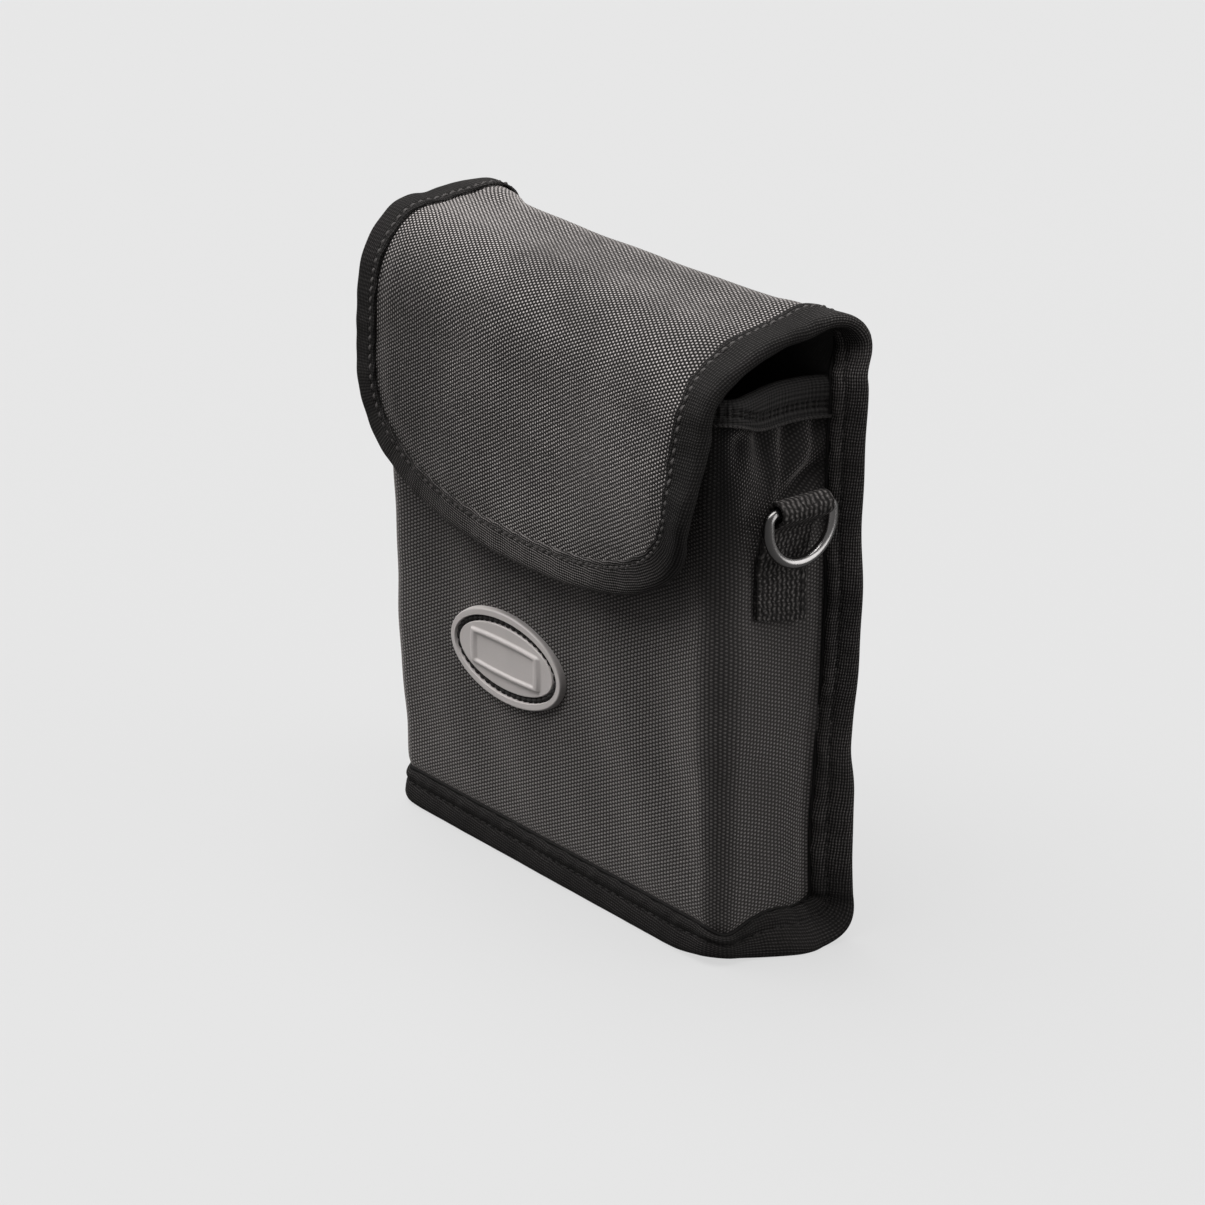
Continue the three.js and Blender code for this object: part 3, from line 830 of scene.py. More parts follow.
@dataclass(frozen=True)
class RuffledElastic(Finish):
    """Black elastic: close upright ribs, with the rubber showing between them."""

    rib_pitch: float = RIB_PITCH
    row_pitch: float = 0.8
    dark: float = 0.004
    light: float = 0.03

    def paint(self, paint: Paint) -> None:
        """Rows sin(2 pi v / r) broken up by faint ribs |sin(pi u / p)|.

        Args:
            paint: The material's nodes.
        """
        u, v = paint.flat()
        drift = paint.noise(paint.vector(u, v * 0.3), 0.4) - 0.5
        rib = abs((u + drift * 0.3).wave(2 * self.rib_pitch))
        row = v.stripes(self.row_pitch)
        fuzz = paint.noise(paint.vector(u, v), 1.8, 3.0)
        lift = (rib * 0.3 + row * 0.6) * (fuzz * 1.3 + 0.1)
        paint.set(Base_Color=paint.mix(lift, grey(self.dark), grey(self.light)))
        paint.set(Roughness=0.85 - rib * 0.15, Specular_IOR_Level=0.14)
        paint.relief(rib * 0.4 + row * 0.6, 0.2)


@dataclass(frozen=True)
class Webbing(Finish):
    """Black strap webbing: lumpy columns of yarn that wave along the strap."""

    column: float = 1.9
    pick: float = 2.6
    dark: float = 0.009
    light: float = 0.122

    def paint(self, paint: Paint) -> None:
        """Columns sin(2 pi (u + 0.25 s) / w), s = sin(2 pi v / p), lumpy by |s| and by noise.

        Args:
            paint: The material's nodes.
        """
        u, v = paint.flat()
        place = paint.vector(u, v)
        drift = paint.noise(place, 0.4) - 0.5
        wave = (v + drift * 2.6).wave(self.pick)
        strand = (u + wave * 0.25 + drift * 1.3).stripes(self.column)
        fuzz = paint.noise(place, 1.3, 3.0)
        yarn = strand ** 1.3 * (abs(wave) * 0.75 + 0.25)
        lumps = (fuzz * 2.6 - 0.6).at_least(0.0)
        paint.set(Base_Color=paint.mix(yarn * lumps, grey(self.dark), grey(self.light)))
        paint.set(Roughness=0.9 - yarn * 0.15, Specular_IOR_Level=0.08)
        paint.relief(yarn, 0.45)


@dataclass(frozen=True)
class LiningCloth(Finish):
    """Thin dark lining with a fine slanting weave and a soft lustre."""

    pitch: float = 0.55
    dark: float = 0.012
    light: float = 0.045

    def paint(self, paint: Paint) -> None:
        """Fine twill sin(2 pi (u + v) / p) over cloudy shading.

        Args:
            paint: The material's nodes.
        """
        u, v = paint.flat()
        twill = (u + v).stripes(self.pitch)
        cloud = paint.noise(paint.vector(u, v), 0.05, 3.0)
        paint.set(Base_Color=paint.mix(twill * (cloud + 0.3), grey(self.dark), grey(self.light)))
        paint.set(Roughness=0.7 - twill * 0.12, Specular_IOR_Level=0.2)
        paint.relief(twill * 0.4 + cloud * 0.6, 0.1)


@dataclass(frozen=True)
class Pile(Finish):
    """Black hook or loop pile: tangled loops or rows of stiff hooks."""

    cell: float = 0.55
    light: float = 0.03

    def paint(self, paint: Paint) -> None:
        """Cells of a Voronoi pattern, raised at their centres.

        Args:
            paint: The material's nodes.
        """
        u, v = paint.flat()
        inputs = {"Vector": paint.vector(u, v), "Scale": 1 / self.cell}
        cells = Value(paint, paint.node("ShaderNodeTexVoronoi", {}, inputs).outputs[0])
        raised = (1.0 - cells * 1.4).at_least(0.0)
        paint.set(Base_Color=paint.mix(raised, grey(0.005), grey(self.light)))
        paint.set(Roughness=0.85 - raised * 0.2, Sheen_Weight=0.15, Sheen_Roughness=0.5)
        paint.relief(raised, 0.5)


@dataclass(frozen=True)
class SewingThread(Finish):
    """Sewing thread with its twist."""

    light: float = 0.025
    twist: float = 0.7

    def paint(self, paint: Paint) -> None:
        """Slanted strands sin(2 pi (2 u + v) / twist) along each stitch.

        Args:
            paint: The material's nodes.
        """
        u, v = paint.flat()
        strand = (u * 2.0 + v).stripes(self.twist)
        paint.set(Base_Color=paint.mix(strand, grey(0.006), grey(self.light)))
        paint.set(Roughness=0.8 - strand * 0.15, Specular_IOR_Level=0.1)


@dataclass(frozen=True)
class BadgeRubber(Finish):
    """Grey moulded rubber with faint mottling, a satin face and painted shade on its right edge."""

    level: float = 0.37
    half: tuple[float, float] = BADGE_HALF

    def paint(self, paint: Paint) -> None:
        """Broad noise for mottling, fine grain for relief, and painted shade on the edge on the right.

        The edge is where (u / a)^2 + (v / b)^2 nears 1.

        Args:
            paint: The material's nodes.
        """
        u, v = paint.flat()
        reach = (u / self.half[0]) ** 2.0 + (v / self.half[1]) ** 2.0
        # Painted shade on the outer wall towards the right.
        edge = reach.ramp(0.925, 0.965) * (u + v * 0.5).ramp(-6.0, 8.0)
        mottle = paint.noise(paint.place(), 90.0, 3.0)
        grain = paint.noise(paint.place(), 2600.0, 2.0)
        low, high = grey(self.level * 0.86), grey(self.level * 1.1)
        face = paint.mix(mottle * 0.7 + grain * 0.3, low, high)
        paint.set(Base_Color=paint.mix(edge * 0.85, face, grey(self.level * 0.3)))
        paint.set(Roughness=0.42 + grain * 0.16, Specular_IOR_Level=0.4)
        paint.relief(grain, 0.03)


@dataclass(frozen=True)
class Nickel(Finish):
    """Polished nickel wire with fine rubbing marks."""

    level: float = 0.36
    radius: float = WIRE_RADIUS

    def paint(self, paint: Paint) -> None:
        """Noise stretched along the wire for the marks, with broad tarnish under it.

        The wire is painted bright by 0.6 - 0.35 cos(v / r), a painted reflection that leaves the
        outside of the bow dull and the inside bright.

        Args:
            paint: The material's nodes.
        """
        u, v = paint.flat()
        marks = paint.noise(paint.vector(u * 0.15, v * 3.0), 1.0, 3.0)
        tarnish = paint.noise(paint.vector(u, v), 0.12, 2.0)
        # Painted reflection: brighter on the inside of the bow, duller outside.
        rubbed = 0.6 - (v / self.radius + QUARTER_TURN).sine() * 0.35
        low, high = grey(self.level * 0.1, 0.03), grey(self.level * 1.25, 0.03)
        paint.set(Base_Color=paint.mix(rubbed * (tarnish * 0.6 + 0.5), low, high), Metallic=1.0)
        paint.set(Roughness=0.19 + marks * 0.12)
        paint.relief(marks, 0.008)


@dataclass(frozen=True)
class Board(Finish):
    """Black stiffening sheet with a pebbled face."""

    def paint(self, paint: Paint) -> None:
        """Noise for the pebbles and their shading.

        Args:
            paint: The material's nodes.
        """
        pebble = paint.noise(paint.place(), 900.0, 2.0)
        paint.set(Base_Color=paint.mix(pebble, grey(0.01), grey(0.03)))
        paint.set(Roughness=0.5 + pebble * 0.2)
        paint.relief(pebble, 0.1)


@dataclass(frozen=True)
class FloorPaint(Finish):
    """Pale studio floor, lit through from below so that hardly any shadow shows on it."""

    level: float = 0.06
    glow: float = 0.625

    def paint(self, paint: Paint) -> None:
        """Plain matt grey with a trace of grain and an even glow.

        Args:
            paint: The material's nodes.
        """
        grain = paint.noise(paint.place(), 40.0, 2.0)
        paint.set(Base_Color=paint.mix(grain, grey(self.level * 0.99, 0), grey(self.level, 0)))
        paint.set(Roughness=0.9, Specular_IOR_Level=0.1)
        paint.set(Emission_Color=grey(1.0, 0.0), Emission_Strength=self.glow)


CLOTH = WrapCloth("woven_cloth", "woven_cloth", rising=0.3)
FLAP_CLOTH = StripCloth("flap_cloth", "woven_cloth", float_length=1.03, row_height=0.57,
                        dark=0.005, light=0.335, fuzz=0.3)
TAPE = RibbedTape("binding_tape", "binding_tape")
ELASTIC = RuffledElastic("elastic", "elastic")
WEBBING = Webbing("webbing", "webbing")
LINING = LiningCloth("lining_cloth", "lining_cloth")
LOOP_PILE = Pile("loop_pile", "hook_and_loop", cell=0.8)
HOOK_PILE = Pile("hook_pile", "hook_and_loop", cell=0.5, light=0.02)
THREAD = SewingThread("sewing_thread", "binding_tape")
# Near-black thread of the cord in the tape's crease: painted shade of that crease.
CREASE_SHADOW_THREAD = SewingThread("crease_thread", "binding_tape", light=0.008)
FLAP_THREAD = SewingThread("flap_thread", "binding_tape", light=0.08)
HEM_THREAD = SewingThread("hem_thread", "elastic", light=0.05)
RUBBER = BadgeRubber("badge_rubber", "badge_rubber")
NICKEL = Nickel("nickel", "nickel")
STIFFENER = Board("stiff_board", "stiff_board")


def bend(radius: float, degrees: float) -> tuple[float, float]:
    """Leg of a trail that turns left, or right where the angle is below 0."""
    return radius * math.radians(abs(degrees)), degrees


@dataclass(frozen=True)
class Trail:
    """A flat line of straight legs and round bends, each given as (length, turn in degrees)."""

    start: tuple[float, float]
    legs: tuple[tuple[float, float], ...]

    def reach(self, count: int) -> float:
        """Length of the first legs."""
        return sum(length for length, _ in self.legs[:count])

    def at(self, run: np.ndarray) -> tuple[np.ndarray, np.ndarray, np.ndarray]:
        """Places along the line.

        The legs are added up: a bend of radius r from heading b to c moves by
        r (sin c - sin b, cos b - cos c).

        Args:
            run: Distances along the line.

        Returns:
            The points, the normals on the right hand and the tangents.
        """
        run = np.asarray(run, float)
        spot = np.zeros(run.shape + (2,)) + np.array(self.start)
        heading, begin = np.zeros(run.shape), 0.0
        for length, turn in self.legs:
            along = np.clip(run - begin, 0, length)
            if turn:
                radius = length / math.radians(turn)
                after = heading + along / radius
                across, up = np.sin(after) - np.sin(heading), np.cos(heading) - np.cos(after)
                spot += radius * stack(across, up)
                heading = after
            else:
                spot += along[..., None] * stack(np.cos(heading), np.sin(heading))
            begin += length
        tangent = stack(np.cos(heading), np.sin(heading))
        return spot, stack(tangent[..., 1], -tangent[..., 0]), tangent


@dataclass(frozen=True)
class CaseForm:
    """Main sizes of the case and the surfaces that its pieces share."""

    side_x: float = 73.0
    seam_y: float = 16.5
    root_y: float = 17.07
    mouth_z: float = 161.534
    wall_top_z: float = 160.5
    back_foot: float = 11.0
    tape_width: float = 10.0
    lean: float = math.radians(38.0)
    seam_corner: float = 4.0
    flap_half: float = 77.0
    tip_rise: float = 49.0
    tip_power: float = 2.5
    back_depth: float = 3.4
    flap_depth: float = 1.5
    front_crown: float = 0.9
    corner_fill: float = 1.9
    elastic_pull: float = 4.2
    seam_pinch: float = 1.9
    gather_size: float = 1.35
    gather_folds: tuple[tuple[float, float, float], ...] = (
        (-1.5, 75.2, 2.8), (-1.9, 84.8, 3.1), (0.5, 90.6, 2.8), (-1.3, 95.2, 2.5),
        (0.4, 100.0, 2.6), (-1.0, 104.0, 1.8))
    flap_shift: float = 1.4
    flap_tilt: float = 2.7
    right_flare: float = 5.4
    left_flare: float = 1.6
    back_pull: float = 3.4
    wall: Trail = Trail((0.0, FRONT_Y), (
        (66.0, 0.0), bend(7.0, 90.0), (30.0, 0.0), bend(1.5, -52.0), (4.5, 0.0)))
    strip: Trail = Trail((-17.8, 8.0), (
        (35.3, 0.0), bend(3.0, 90.0), (156.0, 0.0), bend(12.0, 94.0), (14.98, 0.0),
        bend(22.0, 86.0), (59.98, 0.0)))

    @property
    def seam_s(self) -> float:
        """Distance along the wrap from the middle of the front to a back seam."""
        return self.wall.reach(3)

    @property
    def back_start(self) -> float:
        """Place along the strip where the upright back begins, at the height of its foot."""
        return self.strip.reach(2)

    @property
    def tip_start(self) -> float:
        """Place along the strip where the rounded outline of the flap begins."""
        return self.strip.reach(7) - self.tip_rise

    def plan(self, s: np.ndarray) -> tuple[np.ndarray, np.ndarray]:
        """Line of the front and side walls seen from above, with its outward normals.

        Args:
            s: Distances from the middle of the front, positive to the right.

        Returns:
            The points (x, y) and the outward normals (x, y) at those distances.
        """
        spot, normal, _ = self.wall.at(np.abs(s))
        side = stack(np.where(np.asarray(s) < 0, -1.0, 1.0), 1.0)
        return spot * side, normal * side

    def flare_at(self, s: np.ndarray) -> np.ndarray:
        """Angle by which the lower seam stands out from the wall, small at the front."""
        return np.radians(9.0 + 37.0 * smooth(76, 100, np.abs(s)))

    def seam_width(self, s: np.ndarray) -> np.ndarray:
        """Width of the tape on the lower seam, narrow at the right corner and wide at the sides."""
        lifted = 2.1 * bell(s, 70, 9) * smooth(94, 80, s) + 1.8 * bell(s, -76, 7)
        return (self.root_z(s) - 0.1) / np.cos(self.flare_at(s)) - lifted

    def root_z(self, s: np.ndarray) -> np.ndarray:
        """Height of the lower seam; at the sides the edge of its tape stands on the floor.

        Args:
            s: Distances along the wrap.

        Returns:
            The heights.
        """
        dips = hills(s, (2.5, 74.5, 5.5), (0.5, -74.5, 5.5))
        slant = 10.6 - dips + 3.0 * smooth(80, 95, np.abs(s))
        return slant * np.cos(self.flare_at(s)) + 0.1

    def gathers(self, s: np.ndarray, z: np.ndarray) -> np.ndarray:
        """Folds that hang from the elastic, pressed flat behind it.

        Hollows and ridges are bells along the wall that fade downwards and lean to the front. A
        slanting ridge and tuck cross below them.

        Args:
            s: Distances along the wrap.
            z: Heights.

        Returns:
            How far the cloth stands out.
        """
        q, drop = np.abs(s), np.maximum(150 - z, 0)
        at = q + 0.25 * drop * smooth(84, 96, q)
        waves = hills(at, *self.gather_folds)
        fade = np.exp(-((drop / (8.0 + 6 * bell(at, 91, 4))) ** 1.5))
        tuck = -1.8 * bell(q, 100, 7) * bell(z - 0.5 * (q - 100), 134.5, 3.0)
        ridge = 1.3 * bell(q, 97, 6.5) * bell(z - 0.5 * (q - 97), 141, 4.2)
        held = smooth(153.5, 149.5, z) * smooth(70, 76, q) * smooth(107.5, 104, q)
        return self.gather_size * (waves * fade + tuck + ridge) * held

    def wrap_offset(self, s: np.ndarray, z: np.ndarray) -> np.ndarray:
        """How far the padded front and side walls stand out from their straight lines.

        The sum of a crowned front, full corners, sides drawn in by the elastic, pinched seams,
        the gathers and broad waves.

        Args:
            s: Distances along the wrap.
            z: Heights.

        Returns:
            The distance along the outward normal.
        """
        q = np.abs(s)
        side, inside = smooth(66, 80, q), smooth(107.5, 101, q)
        out = self.front_crown * (1 - side) * np.cos(math.pi * s / 150)
        out = out * np.sin(math.pi * (z - 8) / 155)
        out = out + self.corner_fill * smooth(8, 70, z) * bell(q, 71, 14)
        out = out - self.elastic_pull * side * smooth(108, 158, z) * bell(q, 93, 13) * inside
        out = out - self.seam_pinch * np.exp(-np.maximum(z - self.root_z(s), 0) / 1.7)
        out = out - 0.6 * bell(q, 104.5, 2.5) + 0.6 * smooth(105.5, 108.4, q)
        broad = ripple(s + 0.35 * z, (47, 0.28, 0.4), (29, 0.16, 2.0))
        broad = broad + ripple(z - 0.2 * s, (61, 0.25, 1.1), (23, 0.1, 0.3))
        return out + broad * smooth(6, 30, z) * inside + self.gathers(s, z)

    def wrap_point(self, s: np.ndarray, z: np.ndarray, depth: np.ndarray | float) -> np.ndarray:
        """Points at a depth under the outer face of the front and side walls.

        Below the lower seam the cloth goes on along the slant of the seam's tape.

        Args:
            s: Distances along the wrap.
            z: Heights on the flat cloth.
            depth: Depths under the outer face.

        Returns:
            The points.
        """
        at, normal = self.plan(s)
        past = past_edge(self.root_z(s) - z)
        flare = self.flare_at(s)
        out = self.wrap_offset(s, z) + past * np.sin(flare) - depth
        spot = at + normal * out[..., None]
        return stack(spot[..., 0], spot[..., 1], z + past * (1 - np.cos(flare)))

    def on_flap(self, v: np.ndarray) -> np.ndarray:
        """0 on the bottom and back, rising to 1 on the flap across the hinge."""
        return smooth(self.back_start + 147, self.back_start + 173, v)

    def seam_half(self, v: np.ndarray) -> np.ndarray:
        """Half width of the strip at the inner edge of its tape."""
        return between(self.side_x, self.flap_half - self.tape_width, self.on_flap(v))

    def seam_depth(self, v: np.ndarray) -> np.ndarray:
        """Depth of the middle of the taped edge under the outer face of the strip."""
        return between(self.back_depth, self.flap_depth, self.on_flap(v))

    def bulge(self, x: np.ndarray, v: np.ndarray) -> np.ndarray:
        """How far the edges of the strip stand out where it bends over the back of the mouth."""
        return 4.6 * smooth(190, 200, v) * smooth(218, 199, v) * smooth(54, 72, np.abs(x))

    def inset(self, x: np.ndarray, v: np.ndarray) -> np.ndarray:
        """Distance inside the outer edge of the tape, straight at the sides, round at the tip.

        At the tip it is (1 - r) / |grad r| for the superellipse r = (|x/a|^n + |w/b|^n)^(1/n).

        Args:
            x: Places across the strip.
            v: Places along the strip.

        Returns:
            The distance at each place.
        """
        n, a, b = self.tip_power, self.flap_half, self.tip_rise
        across, down = np.abs(x) / a, np.maximum(v - self.tip_start, 0) / b
        r = np.maximum((across ** n + down ** n) ** (1 / n), 1e-3)
        slope = np.hypot((across / r) ** (n - 1) / a, (down / r) ** (n - 1) / b)
        at_side = self.seam_half(v) + self.tape_width - np.abs(x)
        return np.where(v > self.tip_start, (1 - r) / slope, at_side)

    def strip_point(self, x: np.ndarray, v: np.ndarray, depth: np.ndarray) -> np.ndarray:
        """Points at a depth under the outer face of the strip.

        Outside the seam the strip leans back into the seam's flange: it goes on by e cos k across
        and e sin k outwards for a distance e past the seam.

        Args:
            x: Places across the strip.
            v: Places along the strip.
            depth: Depths under the outer face.

        Returns:
            The points.
        """
        spot, normal, _ = self.strip.at(v)
        lean = self.lean * (1 - self.on_flap(v)) * smooth(36, 44, v)
        past = past_edge(np.abs(x) - self.seam_half(v))
        reach = np.abs(x) - past * (1 - np.cos(lean))
        out = self.bulge(x, v) + past * np.sin(lean) - depth
        side = spot + normal * out[..., None]
        return stack(np.sign(x) * reach, side[..., 0], side[..., 1])

    def settle(self, points: np.ndarray, flap: np.ndarray | float) -> np.ndarray:
        """The set of the soft case.

        The flap sits to the left, its top rises to the left and sinks to the right, its right
        edge flares forward, and the lower back seams are drawn forward.

        Args:
            points: Points of a soft piece.
            flap: Share of the flap in each point, from 0 to 1.

        Returns:
            The moved points.
        """
        x, y, z = points[..., 0], points[..., 1], points[..., 2]
        tilt = -self.flap_tilt * np.clip(x / FRONT_HALF, -1.1, 1.1)
        tilt = tilt * np.where(x > 0, smooth(16, -10, y), 1.0)
        left, edge = smooth(-56, -72, x), smooth(64, 76, x)
        droop = hills(y, (1.8, -15, 9), (2.0, 12, 10))
        round_off = left * hills(y, (1.5, -15, 8), (0.8, 2, 6), (-0.4, 14, 4))
        round_off = round_off + 1.3 * bell(x, -63, 8) * smooth(4, 14, y)
        lift = smooth(150, 172, z) * (0.3 + tilt - edge * droop + round_off)
        flare = -self.right_flare * bell(z, 137, 25) * smooth(12, 70, x)
        flare = flare - self.left_flare * bell(z, 125, 24) * smooth(-12, -70, x)
        flare = flare + hills(z, (2.5, 152, 11), (-1.9, 127, 10)) * edge
        drawn = -self.back_pull * bell(z, 30, 33) * smooth(52, 70, np.abs(x)) * smooth(0, 13, y)
        drawn = drawn + 2.2 * flap * left * smooth(6, 16, y) * smooth(162, 172, z)
        forward = flap * flare * smooth(-12, -24, y)
        return stack(x - self.flap_shift * flap, y + drawn + forward, z + flap * lift)


FORM = CaseForm()
HINGE_START = np.array([0.0, 22.5, 150.0])
HINGE_WAY = np.array([0.0, -0.9, 0.43])
HINGE_LENGTH = 10.0


def place(piece: bpy.types.Object, body: str, *nodes: str) -> None:
    """Rides a piece on a body in place of CAD nodes, and reports it.

    Args:
        piece: The finished piece.
        body: The CAD body that it moves with.
        nodes: The CAD nodes that it stands for.
    """
    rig.ride(piece, body)
    if nodes:
        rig.replaces(piece, *nodes)
    LOG.info("%s: %d faces on %s", piece.name, len(piece.data.polygons), body)


def hinge(piece: bpy.types.Object, *nodes: str) -> None:
    """Bends a piece of the strip between the case and the flap, and reports it.

    The bend runs from low on the back towards the front and up, so that the front of the flap
    lies past its end and the bottom of the case before its start.

    Args:
        piece: The finished piece.
        nodes: The CAD nodes that it stands for.
    """
    start, end = HINGE_START, HINGE_START + HINGE_LENGTH * unit(HINGE_WAY)
    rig.blend(piece, BODY, FLAP, *(((p + ROW_SHIFT) * METRE).tolist() for p in (start, end)))
    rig.replaces(piece, *nodes)
    LOG.info("%s: %d faces across the hinge", piece.name, len(piece.data.polygons))


@dataclass
class StitchRow:
    """Rows of separate stitches, each a short bent thread that dips into the cloth at its ends."""

    pitch: float = 3.2
    share: float = 0.74
    radius: float = 0.3
    bulge: float = 0.45
    steps: int = 6
    sides: int = 6

    def add(self, solid: Solid, points: np.ndarray, normals: np.ndarray,
            closed: bool = False) -> None:
        """Adds stitches along a line that lies on a surface.

        Along a stitch t runs from 0 to 1: it stands out by bulge 4 t (1 - t) - 0.8 radius, and its
        thickness fades to 0.55 at the ends.

        Args:
            solid: Mesh that gets the stitches.
            points: Line on the surface.
            normals: Outward normals of the surface along the line.
            closed: Whether the line joins up with its start.
        """
        if closed:
            points, normals = looped(points), looped(normals)
        run = lengths_along(points)
        count = max(1, round(run[-1] / self.pitch))
        step = run[-1] / count
        t = np.linspace(0, 1, self.steps)
        at = (np.arange(count)[:, None] + 0.5 + (t - 0.5) * self.share) * step
        line = look_up(at, run, points)
        normal = unit(look_up(at, run, normals))
        ahead = unit(look_up(at + 0.2, run, points) - look_up(at - 0.2, run, points))
        beside = np.cross(normal, ahead)
        high = self.bulge * 4 * t * (1 - t) - self.radius * 0.8
        thick = self.radius * (0.55 + 0.45 * np.sin(math.pi * t))
        angle = round_angles(self.sides)[:, None]
        ring = np.cos(angle) * normal[..., None, :] + np.sin(angle) * beside[..., None, :]
        rings = (line + normal * high[:, None])[..., None, :] + ring * thick[:, None, None]
        girth = np.linspace(0, FULL_TURN * self.radius, self.sides + 1)
        solid.add_sweep(rings, stack(at[..., None], girth), closed=False)


@dataclass
class WrapPanel:
    """The padded front and side walls, made from one piece of cloth, and their lining."""

    columns: int = 380
    rows: int = 130
    thickness: float = 3.3
    pinched: float = 0.6
    fullness: float = 0.5

    def grid(self, half: float, tuck: float) -> tuple[np.ndarray, np.ndarray]:
        """Grid of distances along the wrap and heights, from the lower seam to the mouth.

        The lower edge lies a tuck below the seam and rises round the lower back corners on a
        quarter circle r - sqrt(r^2 - d^2).

        Args:
            half: Distance from the middle of the front to the last column.
            tuck: Length below the lower seam.

        Returns:
            Distances along the wrap and heights.
        """
        s = np.linspace(-half, half, self.columns)[:, None]
        t = np.linspace(0, 1, self.rows)[None, :]
        q, r = np.abs(s), FORM.seam_corner
        corner = r - np.sqrt(r * r - np.clip(q - FORM.seam_s + r, 0, r) ** 2)
        bottom = FORM.root_z(s) + corner - tuck * (1 - 0.7 * smooth(100, 106, q))
        return np.broadcast_arrays(s, bottom + (FORM.wall_top_z - bottom) * t)

    def depth(self, s: np.ndarray, z: np.ndarray) -> np.ndarray:
        """Thickness of the padding, thin at the seams and under the elastic."""
        full = smooth(0, 9, z - FORM.root_z(s)) * smooth(-1, 8, FORM.seam_s - np.abs(s))
        return between(self.pinched, self.thickness, full * (1 - 0.35 * smooth(140, 153, z)))

    def sheet(self, s: np.ndarray, z: np.ndarray, depths: tuple) -> Solid:
        """Closed sheet between two depths under the outer face.

        Its flat coordinates are its length half way up and its height, skewed on the front and
        with more cloth drawn in at the top of the sides.

        Args:
            s: Distances along the wrap.
            z: Heights.
            depths: Depths of the outer and the inner face.

        Returns:
            The sheet.
        """
        faces = [FORM.settle(FORM.wrap_point(s, z, depth), 0.0) for depth in depths]
        run = lengths_along(faces[0][:, self.rows // 2])
        run = (run - run[-1] / 2)[:, None]
        front = np.clip(run, -FRONT_HALF, FRONT_HALF)
        gathered = self.fullness * (run - front) * smooth(112, 151, z)
        return Solid().add_slab(*faces, stack(run + gathered, z - FRONT_SKEW * front))

    def build(self) -> None:
        """Outer cloth and padding as one closed padded sheet, and the thin lining inside it."""
        s, z = self.grid(FORM.wall.reach(5), 4.0)
        solid = self.sheet(s, z, (0.0, self.depth(s, z)))
        piece = CLOTH.dress(solid.build("wrap_cloth"))
        place(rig.padded(piece, 0.7), BODY, "wrap_shell", "wrap_foam")
        s, z = self.grid(FORM.seam_s - 2.0, -3.0)
        inner = self.depth(s, z) + LINING_GAP
        solid = self.sheet(s, z, (inner, inner + LINING_THICK))
        place(LINING.dress(solid.build("wrap_lining_cloth")), BODY, "wrap_lining")


